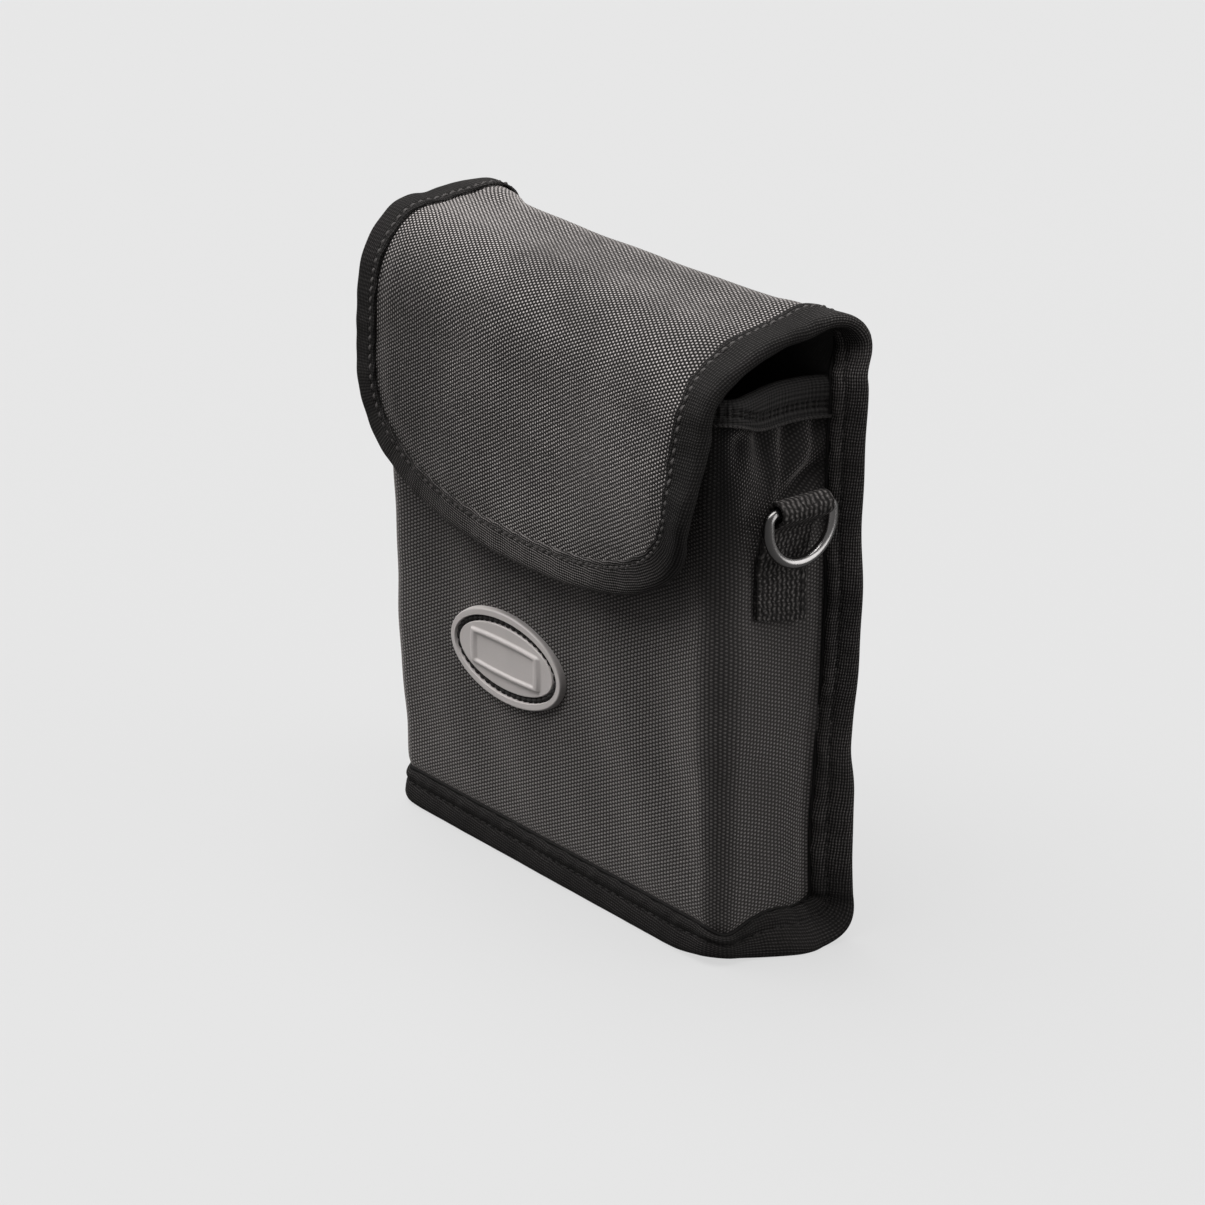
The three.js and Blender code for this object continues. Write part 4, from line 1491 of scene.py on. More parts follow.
@dataclass
class Strip:
    """The long padded strip that makes the bottom, the back and the flap, with its lining."""

    columns: int = 130
    lower_rows: int = 190
    tip_rows: int = 100
    tuck: float = 4.0
    lining_tuck: float = 0.8
    floor_half: float = 66.0
    floor_corner: float = 4.3

    def half(self, v: np.ndarray, tuck: float) -> np.ndarray:
        """Half width of the cloth: round front corners of the bottom, then into the tape.

        Args:
            v: Places along the strip.
            tuck: How far the cloth goes into the tape.

        Returns:
            The half widths.
        """
        r = self.floor_corner
        under = self.floor_half + np.sqrt(r ** 2 - np.clip(r - v, 0, r) ** 2)
        return between(under, FORM.seam_half(v) + tuck, smooth(33, 43, v))

    def grid(self, start: float, tuck: float) -> tuple[np.ndarray, np.ndarray]:
        """Grid of places across and along the strip; its last rows follow the rounded tip.

        Columns lie at half sin(i), close together at the edges. Rows past the front bend are
        spread between the bend and the superellipse b (1 - |x/a|^n)^(1/n).

        Args:
            start: Place along the strip of the first row.
            tuck: How far the cloth goes into the tape.

        Returns:
            Places across and along the strip.
        """
        turn_row = FORM.tip_start - 12.0
        share = np.sin(np.linspace(-QUARTER_TURN, QUARTER_TURN, self.columns))[:, None]
        v = np.linspace(start, turn_row, self.lower_rows)[None, :]
        n, hem = FORM.tip_power, FORM.tape_width - tuck
        rise = (FORM.tip_rise - hem) * (1 - np.abs(share) ** n) ** (1 / n)
        tip = np.linspace(0, 1, self.tip_rows + 1)[None, 1:]
        tip = turn_row + (FORM.tip_start - turn_row + rise) * tip
        along = np.concatenate([np.broadcast_to(v, (self.columns, self.lower_rows)), tip], axis=1)
        return share * self.half(along, tuck), along

    def padding(self, x: np.ndarray, v: np.ndarray) -> tuple[np.ndarray, np.ndarray]:
        """Depths of the two faces of the cloth and padding.

        At the tape both lie close to the middle of the seam; inside it they part to the full
        thickness, and the flap is slightly crowned.

        Args:
            x: Places across the strip.
            v: Places along the strip.

        Returns:
            Depths of the outer and the inner face.
        """
        flap, upright = FORM.on_flap(v), smooth(24, 37, v)
        inside = smooth(9.2, 17.5, FORM.inset(x, v)) * upright
        middle = between(0.4, FORM.seam_depth(v), upright)
        over = 0.4 + 0.25 * upright + 0.65 * flap
        under = 0.4 - 0.45 * upright + 1.35 * flap
        waves = ripple(x + 0.3 * v, (53, 0.16, 0.2), (31, 0.1, 1.4)) + ripple(v, (41, 0.14, 2.2))
        crown = flap * (0.25 + 0.5 * np.cos(x / 52)) + waves
        full = 3.4 - 0.7 * flap
        outer = (middle - over) * (1 - inside) - crown * inside
        return outer, (middle + under) * (1 - inside) + full * inside

    def sheet(self, x: np.ndarray, v: np.ndarray, depths: tuple) -> Solid:
        """Closed sheet between two depths under the outer face."""
        faces = [FORM.settle(FORM.strip_point(x, v, depth), FORM.on_flap(v)) for depth in depths]
        return Solid().add_slab(*faces, stack(x, v))

    def build(self) -> None:
        """Outer cloth and padding as one padded sheet, and the linings inside it.

        The lining is narrower below the fold of the open flap, where it lies between the walls.
        """
        x, v = self.grid(0.0, self.tuck)
        solid = self.sheet(x, v, self.padding(x, v))
        piece = FLAP_CLOTH.dress(solid.build("back_and_flap_cloth"))
        hinge(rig.padded(piece, 0.6), "back_bottom_shell", "back_foam", "flap_shell", "flap_foam")
        x, v = self.grid(FORM.back_start + 3.0, self.lining_tuck)
        x = x * (1 - 0.055 * smooth(0, 8, FORM.back_start + 126 - v))
        inner = self.padding(x, v)[1] + LINING_GAP
        solid = self.sheet(x, v, (inner, inner + LINING_THICK))
        hinge(LINING.dress(solid.build("back_and_flap_lining")), "back_lining", "flap_lining")
        self.build_floor_lining()

    def build_floor_lining(self) -> None:
        """Lining over the stiff sheet in the bottom, a little raised towards its edges."""
        low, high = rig.box("bottom_lining")
        margin = 0.3
        half = (high.x - low.x) / METRE / 2 - margin
        front, back = np.array([low.y, high.y]) / METRE - ROW_SHIFT[1]
        s = np.linspace(-1, 1, 90)[:, None]
        t = np.linspace(0, 1, 30)[None, :]
        start = front + 6 * np.maximum(np.abs(s) - 0.93, 0) ** 2 / 0.07 ** 2
        x, y = np.broadcast_arrays(s * half, between(start, back - margin, t))
        edge = np.minimum(half - np.abs(x), np.minimum(y - front, back - y))
        height = low.z / METRE + 0.05 + 0.9 * np.exp(-np.maximum(edge, 0) / 1.5)
        sheets = [stack(x, y, height + k) for k in (LINING_THICK, 0.0)]
        solid = Solid().add_slab(*sheets, stack(x, y))
        place(LINING.dress(solid.build("floor_lining_cloth")), BODY, "bottom_lining")


TAPE_LEAF = np.array([0.0, 0.12, 0.4, 0.9, 1.4, 1.9, 2.4, 3.0, 3.5, 3.9, 4.4, 5.0, 5.9, 6.8])
TAPE_EDGE = (0.55, 0.25, 0.04)  # how far the first points of a leaf lie under its face
TAPE_SLOT = np.array([[0.1, -1.0], [4.0, -1.0], [7.4, -0.9], [8.6, 0.0], [7.4, 0.9], [4.0, 1.0],
                      [0.1, 1.0]])  # inside of the fold: e, and m as a share


@dataclass
class EdgeTape:
    """Binding tape folded over every seam and edge in one loop, with its rows of stitches.

    The loop runs along the lower seam, up the back seams and round the flap. Its frames hold the
    inner edge of the tape, the way to its fold, the normal of its outer leaf, the share of the
    flap and the width.
    """

    step: float = 0.8
    wall: float = 0.8
    fold: float = 7.6
    corner_width: float = 11.3
    seam_inset: float = 0.2
    seam_half_thick: float = 1.55
    flap_half_thick: float = 2.35
    stitch_dip: float = 0.45
    seam_dip: float = 0.3
    edge_roll: float = 0.5
    ragged: float = 0.16
    # The crease cord is a near-black cord standing for the crease's shadow: painted shade.
    cord: float = 0.6
    cord_inset: float = 0.45
    cord_under: float = 0.75
    cord_sides: int = 8
    thread_sunk: float = 0.3
    flap_row: float = 1.9
    seam_row: float = 3.9
    stitches: StitchRow = field(default_factory=lambda: StitchRow(2.8, 0.84, 0.54, 0.55))
    sunk: StitchRow = field(default_factory=lambda: StitchRow(3.2, 0.7, 0.25, 0.15))

    def _lower(self, side: Side) -> tuple[np.ndarray, ...]:
        """Frames along half of the lower seam: down, then flared at the side.

        Args:
            side: Which half.

        Returns:
            The frames, put on the right.
        """
        end = FORM.seam_s - FORM.seam_y + FORM.root_y - FORM.seam_corner
        s = side.value * np.linspace(0, end, round(end / self.step))
        flip = side.flip
        _, normal = FORM.plan(s)
        flare, zero = FORM.flare_at(s)[:, None], np.zeros_like(s)
        out, up = stack(normal[:, 0], normal[:, 1], zero), np.array([0.0, 0.0, 1.0])
        way = out * np.sin(flare) - up * np.cos(flare)
        seen = out * np.cos(flare) + up * np.sin(flare)
        root = FORM.wrap_point(s, FORM.root_z(s), -0.15)
        return root * flip, way * flip, -seen * flip, zero, FORM.seam_width(s)

    def _corner(self, start: np.ndarray, width: float) -> tuple[np.ndarray, ...]:
        """Frames round the right lower back corner, on a quarter circle into the back seam.

        Args:
            start: Last inner edge of the lower seam.
            width: Width of the tape there.

        Returns:
            The frames.
        """
        turn = np.linspace(0, QUARTER_TURN, 26)[1:-1]
        share = turn / QUARTER_TURN
        first = float(FORM.flare_at(np.array(FORM.seam_s)))
        flare = between(first, QUARTER_TURN - FORM.lean, share)
        r = FORM.seam_corner
        x = between(start[0], FORM.side_x - self.seam_inset, share)
        root = stack(x, start[1] + r * np.sin(turn), start[2] + r * (1 - np.cos(turn)))
        way = stack(np.sin(flare), np.cos(flare) * np.sin(turn), -np.cos(flare) * np.cos(turn))
        seen = stack(np.cos(flare), -np.sin(flare) * np.sin(turn), np.sin(flare) * np.cos(turn))
        full = 1 + 0.07 * np.sin(2 * turn) ** 2
        width = between(width, self.corner_width, share) * full
        return root, way, -seen, np.zeros_like(turn), width

    def _upper(self, low: float) -> tuple[np.ndarray, ...]:
        """Frames up the right back seam and along the right edge of the flap.

        Args:
            low: Height of the first frame.

        Returns:
            The frames.
        """
        first = FORM.back_start + low - FORM.back_foot
        v = np.linspace(first, FORM.tip_start, round((FORM.tip_start - first) / self.step))
        spot, normal, _ = FORM.strip.at(v)
        flap = FORM.on_flap(v)
        lean = FORM.lean * (1 - flap)
        z = v - FORM.back_start + FORM.back_foot
        wave = (1 - flap) * ripple(v, (58, 0.5, 0.6), (27, 0.25, 2.0)) * smooth(50, 75, v)
        way = stack(np.cos(lean), np.sin(lean) * normal[:, 0], np.sin(lean) * normal[:, 1])
        out = stack(-np.sin(lean), np.cos(lean) * normal[:, 0], np.cos(lean) * normal[:, 1])
        width = 9.4 + 1.9 * smooth(68, 30, z) - 0.7 * bell(z, 55, 6)
        width = between(width, FORM.tape_width, flap)
        x = FORM.seam_half(v) - self.seam_inset * (1 - flap) + wave
        side = spot + normal * (FORM.bulge(x + 3, v) - FORM.seam_depth(v))[:, None]
        return stack(x, side[:, 0], side[:, 1]), way, out, flap, width

    def _tip(self) -> tuple[np.ndarray, ...]:
        """Frames round the right half of the tip: a superellipse and its outward normals.

        Returns:
            The frames.
        """
        n, a, b = FORM.tip_power, FORM.flap_half, FORM.tip_rise
        turn = np.linspace(0, QUARTER_TURN, 400)
        line = stack(a * np.cos(turn) ** (2 / n), b * np.sin(turn) ** (2 / n))
        run = lengths_along(line)
        at = np.linspace(0, run[-1], round(run[-1] / self.step))[1:]
        x, w = look_up(at, run, line).T
        outward = unit(stack((x / a) ** (n - 1) / a, (w / b) ** (n - 1) / b))
        root = stack(x, w) - outward * FORM.tape_width
        v = FORM.tip_start + root[:, 1]
        spot, normal, tangent = FORM.strip.at(v)
        side = spot - normal * FORM.seam_depth(v)[:, None]
        way = stack(outward[:, 0], outward[:, 1] * tangent[:, 0], outward[:, 1] * tangent[:, 1])
        one = np.ones_like(x)
        out = stack(0 * one, normal[:, 0], normal[:, 1])
        return stack(root[:, 0], side[:, 0], side[:, 1]), way, out, one, one * FORM.tape_width

    def half(self, side: Side) -> tuple[np.ndarray, ...]:
        """Frames of half the loop, from the middle of the front to the tip.

        Args:
            side: Which half.

        Returns:
            The frames, put on the right.
        """
        lower = self._lower(side)
        corner = self._corner(lower[0][-1], float(lower[4][-1]))
        upper = self._upper(float(lower[0][-1, 2]) + FORM.seam_corner)
        return tuple(np.concatenate(group) for group in zip(lower, corner, upper, self._tip()))

    def frames(self) -> tuple[np.ndarray, ...]:
        """Frames of the whole loop: the right half, then the left half run backwards.

        Returns:
            The frames.
        """
        flip = Side.LEFT.flip
        whole = []
        for right, left in zip(self.half(Side.RIGHT), self.half(Side.LEFT)):
            back = left[-2:0:-1]
            whole.append(np.concatenate([right, back * flip if left.ndim > 1 else back]))
        return tuple(whole)

    def row(self, flap: np.ndarray) -> np.ndarray:
        """Distance of the stitches from the tape's edge: close on the flap, more on a seam."""
        return between(self.seam_row, self.flap_row, flap)

    def thick(self, flap: np.ndarray) -> np.ndarray:
        """Half thickness of the folded tape."""
        return between(self.seam_half_thick, self.flap_half_thick, flap)

    def profile(self, flap: np.ndarray, run: np.ndarray) -> tuple[np.ndarray, np.ndarray]:
        """Section of the folded tape at each step: e runs to the fold, m across it.

        The leaves lie at m = +-thick and the fold is a half ellipse. Each leaf dips along its row
        of stitches by a bell in e, deeper where a stitch ends, and rolls over its edge on a seam.

        Args:
            flap: Share of the flap at each step.
            run: Length along the loop at each step.

        Returns:
            The coordinates e and m, each with steps by profile points.
        """
        leaf, turn = TAPE_LEAF, np.linspace(0, math.pi, 11)[1:-1]
        edge = np.concatenate([TAPE_EDGE, np.zeros(len(leaf) - len(TAPE_EDGE))])
        round_fold = between(self.fold, FORM.tape_width, np.sin(turn))
        e_out = np.concatenate([leaf, round_fold, leaf[::-1]])
        m_out = np.concatenate([np.ones_like(leaf), np.cos(turn), -np.ones_like(leaf)])
        drop = np.concatenate([edge, np.zeros_like(turn), -edge[::-1]])
        e_in, m_in = TAPE_SLOT.T
        thick, seam = self.thick(flap)[:, None], (1 - flap)[:, None]
        pucker = 0.7 + 0.3 * np.cos(FULL_TURN * run / self.stitches.pitch)[:, None]
        dip = self.stitch_dip + self.seam_dip * seam
        dip = dip * pucker * bell(e_out, self.row(flap)[:, None], 0.55)
        swell = 1 + 0.5 * ripple(run, (9.7, 0.7, 0.8), (5.3, 0.5, 2.4))[:, None]
        roll = self.edge_roll * seam * swell * bell(e_out, 1.7, 1.2)
        soft = 1 + 0.06 * ripple(run, (17, 1.0, 0.3), (7.3, 0.6, 1.9))[:, None]
        m_face = thick * soft * m_out - drop + (roll - dip) * np.sign(m_out)
        m_slot = (thick - self.wall) * m_in
        ragged = self.ragged * ripple(run, (11, 1.0, 0.5), (4.7, 0.7, 2.2))[:, None]
        e_face = e_out + ragged * np.clip(1 - e_out / 3, 0, 1)
        e_slot = np.broadcast_to(e_in, m_slot.shape)
        return np.concatenate([e_face, e_slot], 1), np.concatenate([m_face, m_slot], 1)

    def build(self) -> None:
        """The tape as one closed loop, its two rows of stitches and the near-black cord in its
        crease, which is painted shade.
        """
        frames = self.frames()
        root, way, out, flap, width = frames
        way = way * (width / FORM.tape_width)[:, None]
        run = lengths_along(looped(root + way * 5))
        e, m = self.profile(flap, run[:-1])
        rings = root[:, None] + e[..., None] * way[:, None] + m[..., None] * out[:, None]
        rings = FORM.settle(rings, flap[:, None])
        girth = lengths_along(looped(rings[len(rings) // 3]))
        flat = stack(run[:, None] - run[-1] / 2, girth[None, :])
        piece = TAPE.dress(Solid().add_sweep(rings, flat, closed=True).build("edge_tape"))
        hinge(piece, "bottom_binding", "left_back_binding", "right_back_binding", "flap_binding")
        order = np.roll(np.arange(len(root)), len(root) // 2)
        upper = [part[flap > 0.5] for part in frames]
        lower = [part[order[flap[order] <= 0.5]] for part in frames]
        self.sew("flap_tape_stitches", FLAP_THREAD, self.stitches, upper)
        self.sew("seam_tape_stitches", THREAD, self.sunk, lower)
        self.build_cord(lower)

    def build_cord(self, frames: list[np.ndarray]) -> None:
        """A thin near-black cord in the crease between the cloth and the tape, standing for the
        crease's shadow as painted shade: a circle along the seams.

        Args:
            frames: Frames that the cord follows.
        """
        root, way, out, flap, _ = frames
        angle = round_angles(self.cord_sides)
        reach_e = self.cord * np.cos(angle) - self.cord_inset
        reach_m = self.cord * np.sin(angle) - self.cord_under
        rings = root[:, None] + reach_e[:, None] * way[:, None] + reach_m[:, None] * out[:, None]
        girth = np.linspace(0, FULL_TURN * self.cord, self.cord_sides + 1)
        flat = stack(lengths_along(root)[:, None], girth[None, :])
        solid = Solid().add_sweep(FORM.settle(rings, flap[:, None]), flat, closed=False)
        hinge(CREASE_SHADOW_THREAD.dress(solid.build("seam_cord")))

    def sew(self, name: str, finish: Finish, stitches: StitchRow, frames: list[np.ndarray]) -> None:
        """A row of stitches on both leaves of the tape.

        Args:
            name: Name of the piece.
            finish: Finish of the thread.
            stitches: Size of the stitches.
            frames: Frames that the row follows.
        """
        root, way, out, flap, width = frames
        way = way * (width / FORM.tape_width)[:, None]
        seams = Solid()
        for leaf in Leaf:
            high = (self.thick(flap) - self.thread_sunk) * leaf.value
            line = root + way * self.row(flap)[:, None] + out * high[:, None]
            stitches.add(seams, FORM.settle(line, flap), out * leaf.value)
        hinge(finish.dress(seams.build(name)))


@dataclass
class MouthHem:
    """Folded hems round the mouth: tape at the front and ribbed elastic at the sides."""

    height: float = 11.0
    wall: float = 0.8
    inside: float = 2.75
    split: float = 66.0
    join: float = 0.15
    tape_ribs: float = 0.02
    elastic_ribs: float = 0.09
    stitch_dip: float = 0.9
    rows: tuple[float, float] = (3.0, 4.4)
    thread_stand: float = 0.4
    cord_rise: float = 0.3
    cord_stand: float = 1.4
    stitches: StitchRow = field(default_factory=lambda: StitchRow(1.6, 0.55, 0.22, 0.25))
    cord: StitchRow = field(default_factory=lambda: StitchRow(1.3, 1.2, 0.42, 0.1))

    def low(self, s: np.ndarray) -> np.ndarray:
        """Height of the lower edge, which sags between the corners.

        Args:
            s: Places along the wrap.

        Returns:
            The heights.
        """
        q = np.abs(s)
        curve = hills(q, (4.6, 71, 9), (-0.3, 91, 8)) - 0.3 * smooth(97, 106, q)
        return FORM.mouth_z - self.height + curve

    def stand(self, s: np.ndarray) -> np.ndarray:
        """How far the cloth stands out under the hem."""
        return FORM.wrap_offset(s, np.full_like(s, FORM.mouth_z - 8.0))

    def section(self, s: np.ndarray, ribs: float) -> np.ndarray:
        """Section over the wall's edge at each place: points as depth and height.

        The lower edge is a thin roll, the outer leaf has fine upright ribs |sin(pi s / p)| and
        dips along its two rows of stitches, and the fold is a half ellipse over the wall.

        Args:
            s: Places along the wrap.
            ribs: Height of the ribs.

        Returns:
            Depth under the cloth's face and height, by places and profile points.
        """
        low, top = self.low(s)[:, None], FORM.mouth_z
        turn, share = np.linspace(0, math.pi, 11), np.linspace(0.14, 1, 16)
        inner, one = self.inside, np.ones_like(low)
        mid, reach = (inner + 0.1) / 2 - 0.15, (inner + 0.3) / 2 + self.wall
        depth = np.concatenate([
            [-0.1, -0.95, -1.4, -1.35, -1.0], -0.85 - 0.25 * share, mid - reach * np.cos(turn),
            [inner + 0.95, inner + 0.95, inner + 0.15, inner + 0.1, mid, -0.12]])
        z = np.concatenate([
            low + np.array([0, 0.02, 0.35, 0.75, 1.1]), between(low, top - 3.0, share),
            one * (top - 2.4 + 2.4 * np.sin(turn)), low + np.array([4.0, 0.2, 0.2]),
            one * (top - np.array([2.4, 1.0, 2.4]))], axis=1)
        wander = s + 0.5 * np.sin(s / 2.3)
        rib = np.abs(np.sin(math.pi * wander / RIB_PITCH))[:, None] - 0.6
        face = smooth(1.0, 1.8, z - low) * (depth < 1.0) * smooth(top + 0.5, top - 3.5, z)
        knots = 0.65 + 0.35 * np.cos(FULL_TURN * s / self.stitches.pitch)[:, None]
        rows = sum(bell(z - low, row, 0.55) for row in self.rows) * (depth < -0.5)
        return stack(depth + self.stitch_dip * rows * knots - ribs * rib * face, z)

    def band(self, name: str, s: np.ndarray, finish: Finish, ribs: float, node: str) -> None:
        """One length of the hem as a closed band.

        Args:
            name: Name of the piece.
            s: Places along the wrap.
            finish: Its finish.
            ribs: Height of its ribs.
            node: The CAD node that it stands for.
        """
        shape = self.section(s, ribs)
        at, normal = FORM.plan(s)
        spot = at[:, None] + normal[:, None] * (self.stand(s)[:, None] - shape[..., 0])[..., None]
        rings = stack(spot[..., 0], spot[..., 1], shape[..., 1])
        flat = stack(s[:, None], lengths_along(looped(shape[0]))[None, :])
        solid = Solid().add_sweep(rings, flat, closed=False)
        place(finish.dress(solid.build(name)), BODY, node)

    def line(self, s: np.ndarray, rise: float, stand: float) -> tuple[np.ndarray, np.ndarray]:
        """A line along the face of the hem.

        Args:
            s: Places along the wrap.
            rise: Height over the lower edge.
            stand: Distance out from the cloth.

        Returns:
            The points and their outward normals.
        """
        at, normal = FORM.plan(s)
        out = stack(normal[:, 0], normal[:, 1], np.zeros_like(s))
        foot = stack(at[:, 0], at[:, 1], self.low(s) + rise)
        return foot + out * (self.stand(s) + stand)[:, None], out

    def build(self) -> None:
        """The front tape, the two side elastics, the stitches along them and the edge's cord."""
        end = FORM.seam_s - 0.2
        front = np.linspace(-self.split, self.split, 170)
        self.band("front_hem_tape", front, TAPE, self.tape_ribs, "front_mouth_binding")
        for side in Side:
            s = side.value * np.linspace(self.split + self.join, end, 260)
            name, node = f"{side.word}_hem_elastic", f"{side.word}_gusset_elastic"
            self.band(name, s, ELASTIC, self.elastic_ribs, node)
        s = np.linspace(-end, end, 700)
        seams, cord = Solid(), Solid()
        for row in self.rows:
            self.stitches.add(seams, *self.line(s, row, self.thread_stand))
        place(THREAD.dress(seams.build("hem_stitches")), BODY)
        self.cord.add(cord, *self.line(s, self.cord_rise, self.cord_stand))
        place(HEM_THREAD.dress(cord.build("hem_cord")), BODY)


@dataclass
class RingTab:
    """A webbing tab folded round the bar of a D-ring and sewn to a side wall."""

    side: Side
    width: float = 20.0
    thick: float = 1.2
    wall_gap: float = 0.35
    foot_low: float = 96.8
    foot_high: float = 113.3
    roll: float = 3.0
    layer_gap: float = 0.08
    wrap_turn: tuple[float, float] = (-38.0, 222.0)
    pinch_way: tuple[float, float] = (0.62, 0.78)
    pinch_reach: float = 7.2
    narrowing: float = 0.13
    points_across: int = 21
    stitches: StitchRow = field(default_factory=lambda: StitchRow(2.6, bulge=0.3))

    def path(self) -> np.ndarray:
        """Middle line of the webbing in X and Z: up the front layer, round the bar, and down.

        Straight foot layers, a straight rise to the tangent of the bar's circle, and that circle.

        Returns:
            The points, evenly spaced.
        """
        back_x = FORM.side_x + self.wall_gap + self.thick / 2
        front_x = back_x + self.thick + self.layer_gap
        bar, down = np.array(RING_BAR), np.array(self.pinch_way)
        turn = np.linspace(*np.radians(self.wrap_turn), 30)
        circle = bar + self.roll * stack(np.cos(turn), np.sin(turn))
        front = np.array([[front_x, self.foot_low], [front_x, self.foot_low + 5],
                          [front_x, self.foot_high - 2], [front_x + 0.5, self.foot_high + 1.5]])
        rear = np.array([[back_x + 0.5, self.foot_high + 1.9], [back_x, self.foot_high - 1.6],
                         [back_x, self.foot_low + 5], [back_x, self.foot_low]])
        pinch = bar - down * self.pinch_reach
        across = np.array([down[1], -down[0]]) * self.thick * 0.54
        line = np.concatenate([front, [pinch + across], circle, [pinch - across], rear])
        run = lengths_along(line)
        line = look_up(np.linspace(0, run[-1], 150), run, line)
        kernel = np.ones(5) / 5
        inner = stack(*(np.convolve(column, kernel, "valid") for column in line.T))
        return np.concatenate([line[:2], inner, line[-2:]])

    def build(self) -> None:
        """The webbing as one folded strip, and its stitches."""
        line = self.path()
        run = lengths_along(line)
        tangent = unit(np.gradient(line, axis=0))
        normal = stack(tangent[:, 1], -tangent[:, 0])
        half, t, count = self.width / 2, self.thick / 2, self.points_across
        y = np.concatenate([np.linspace(-half, half, count), np.linspace(half, -half, count)])
        m = np.repeat([t, -t], count) * np.where(np.abs(y) > half - 0.1, 0.55, 1.0)
        wander = 0.25 * ripple(run, (31, 1.0, 0.4), (11, 0.5, 1.0))
        spot = line[:, None] + normal[:, None] * m[None, :, None]
        narrow = 1 - self.narrowing * smooth(self.foot_high - 2, RING_BAR[1] - 4, line[:, 1])
        across = y[None, :] * narrow[:, None] + wander[:, None]
        rings = self.cut(stack(spot[..., 0], across, spot[..., 1])) * self.side.flip
        solid = Solid().add_sweep(rings, stack(looped(y)[None, :], run[:, None]), closed=False)
        word = self.side.word
        place(WEBBING.dress(solid.build(f"{word}_tab_webbing")), BODY, f"{word}_ring_tab")
        self.build_stitches()

    def build_stitches(self) -> None:
        """Rows of stitches: a box round the sewn foot with a bar at its top and bottom."""
        x = FORM.side_x + self.wall_gap + 2 * self.thick + 0.1
        half = self.width / 2 - 2.0
        low, high = self.foot_low + 1.8, self.foot_high - 1.8
        corners = np.array([[x, y, z] for z in (low, high) for y in (-half, half)])
        t = np.linspace(0, 1, 40)[:, None]
        out = np.broadcast_to(np.array([1.0, 0.0, 0.0]), (len(t), 3)) * self.side.flip
        seams = Solid()
        for first, last in ((0, 1), (2, 3), (0, 2), (1, 3)):
            line = self.cut(between(corners[first], corners[last], t)) * self.side.flip
            self.stitches.add(seams, line, out)
        place(THREAD.dress(seams.build(f"{self.side.word}_tab_stitches")), BODY)

    def cut(self, points: np.ndarray) -> np.ndarray:
        """Moves the foot to its slanting lower edge and draws in its rear edge.

        Args:
            points: Points of the tab.

        Returns:
            The moved points.
        """
        y, z = points[..., 1], points[..., 2]
        moved = points.copy()
        moved[..., 1] -= (1.4 + 0.14 * y) * smooth(RING_BAR[1], self.foot_high, z)
        moved[..., 2] += (1.4 - 0.19 * y) * smooth(self.foot_high, self.foot_low, z)
        return moved


@dataclass
class DRing:
    """A D-ring of round nickel wire that hangs in a tab."""

    side: Side
    half: float = 11.0
    height: float = 15.0
    corner: float = 2.2
    sides: int = 20

    def line(self) -> np.ndarray:
        """Middle line in Y and Z: the bow, a bend, the bar and a bend.

        Returns:
            The points, evenly spaced.
        """
        bar_z, r = RING_BAR[1], self.corner
        bow_z = bar_z - self.height + self.half
        bow, turn = np.linspace(math.pi, FULL_TURN, 80), np.linspace(0, QUARTER_TURN, 14)
        y = np.concatenate([self.half * np.cos(bow), self.half - r + r * np.cos(turn),
                            r - self.half - r * np.sin(turn)])
        z = np.concatenate([bow_z + self.half * np.sin(bow), bar_z - r + r * np.sin(turn),
                            bar_z - r + r * np.cos(turn)])
        loop = looped(stack(y, z))
        run = lengths_along(loop)
        return look_up(np.linspace(0, run[-1], 160, endpoint=False), run, loop)

    def build(self) -> None:
        """A circle carried round the middle line."""
        line = self.line()
        tangent = unit(np.roll(line, -1, 0) - np.roll(line, 1, 0))
        normal = stack(tangent[:, 1], -tangent[:, 0])
        angle = round_angles(self.sides)
        reach = WIRE_RADIUS * np.cos(angle)
        spot = line[:, None] + normal[:, None] * reach[None, :, None]
        x = self.side.value * (RING_BAR[0] + WIRE_RADIUS * np.sin(angle))
        girth = np.linspace(0, FULL_TURN * WIRE_RADIUS, self.sides + 1)
        flat = stack(lengths_along(looped(line))[:, None], girth[None, :])
        solid = Solid().add_sweep(stack(x, spot[..., 0], spot[..., 1]), flat, closed=True)
        word = self.side.word
        place(NICKEL.dress(solid.build(f"{word}_ring_wire")), f"{word}_ring", f"{word}_d_ring")


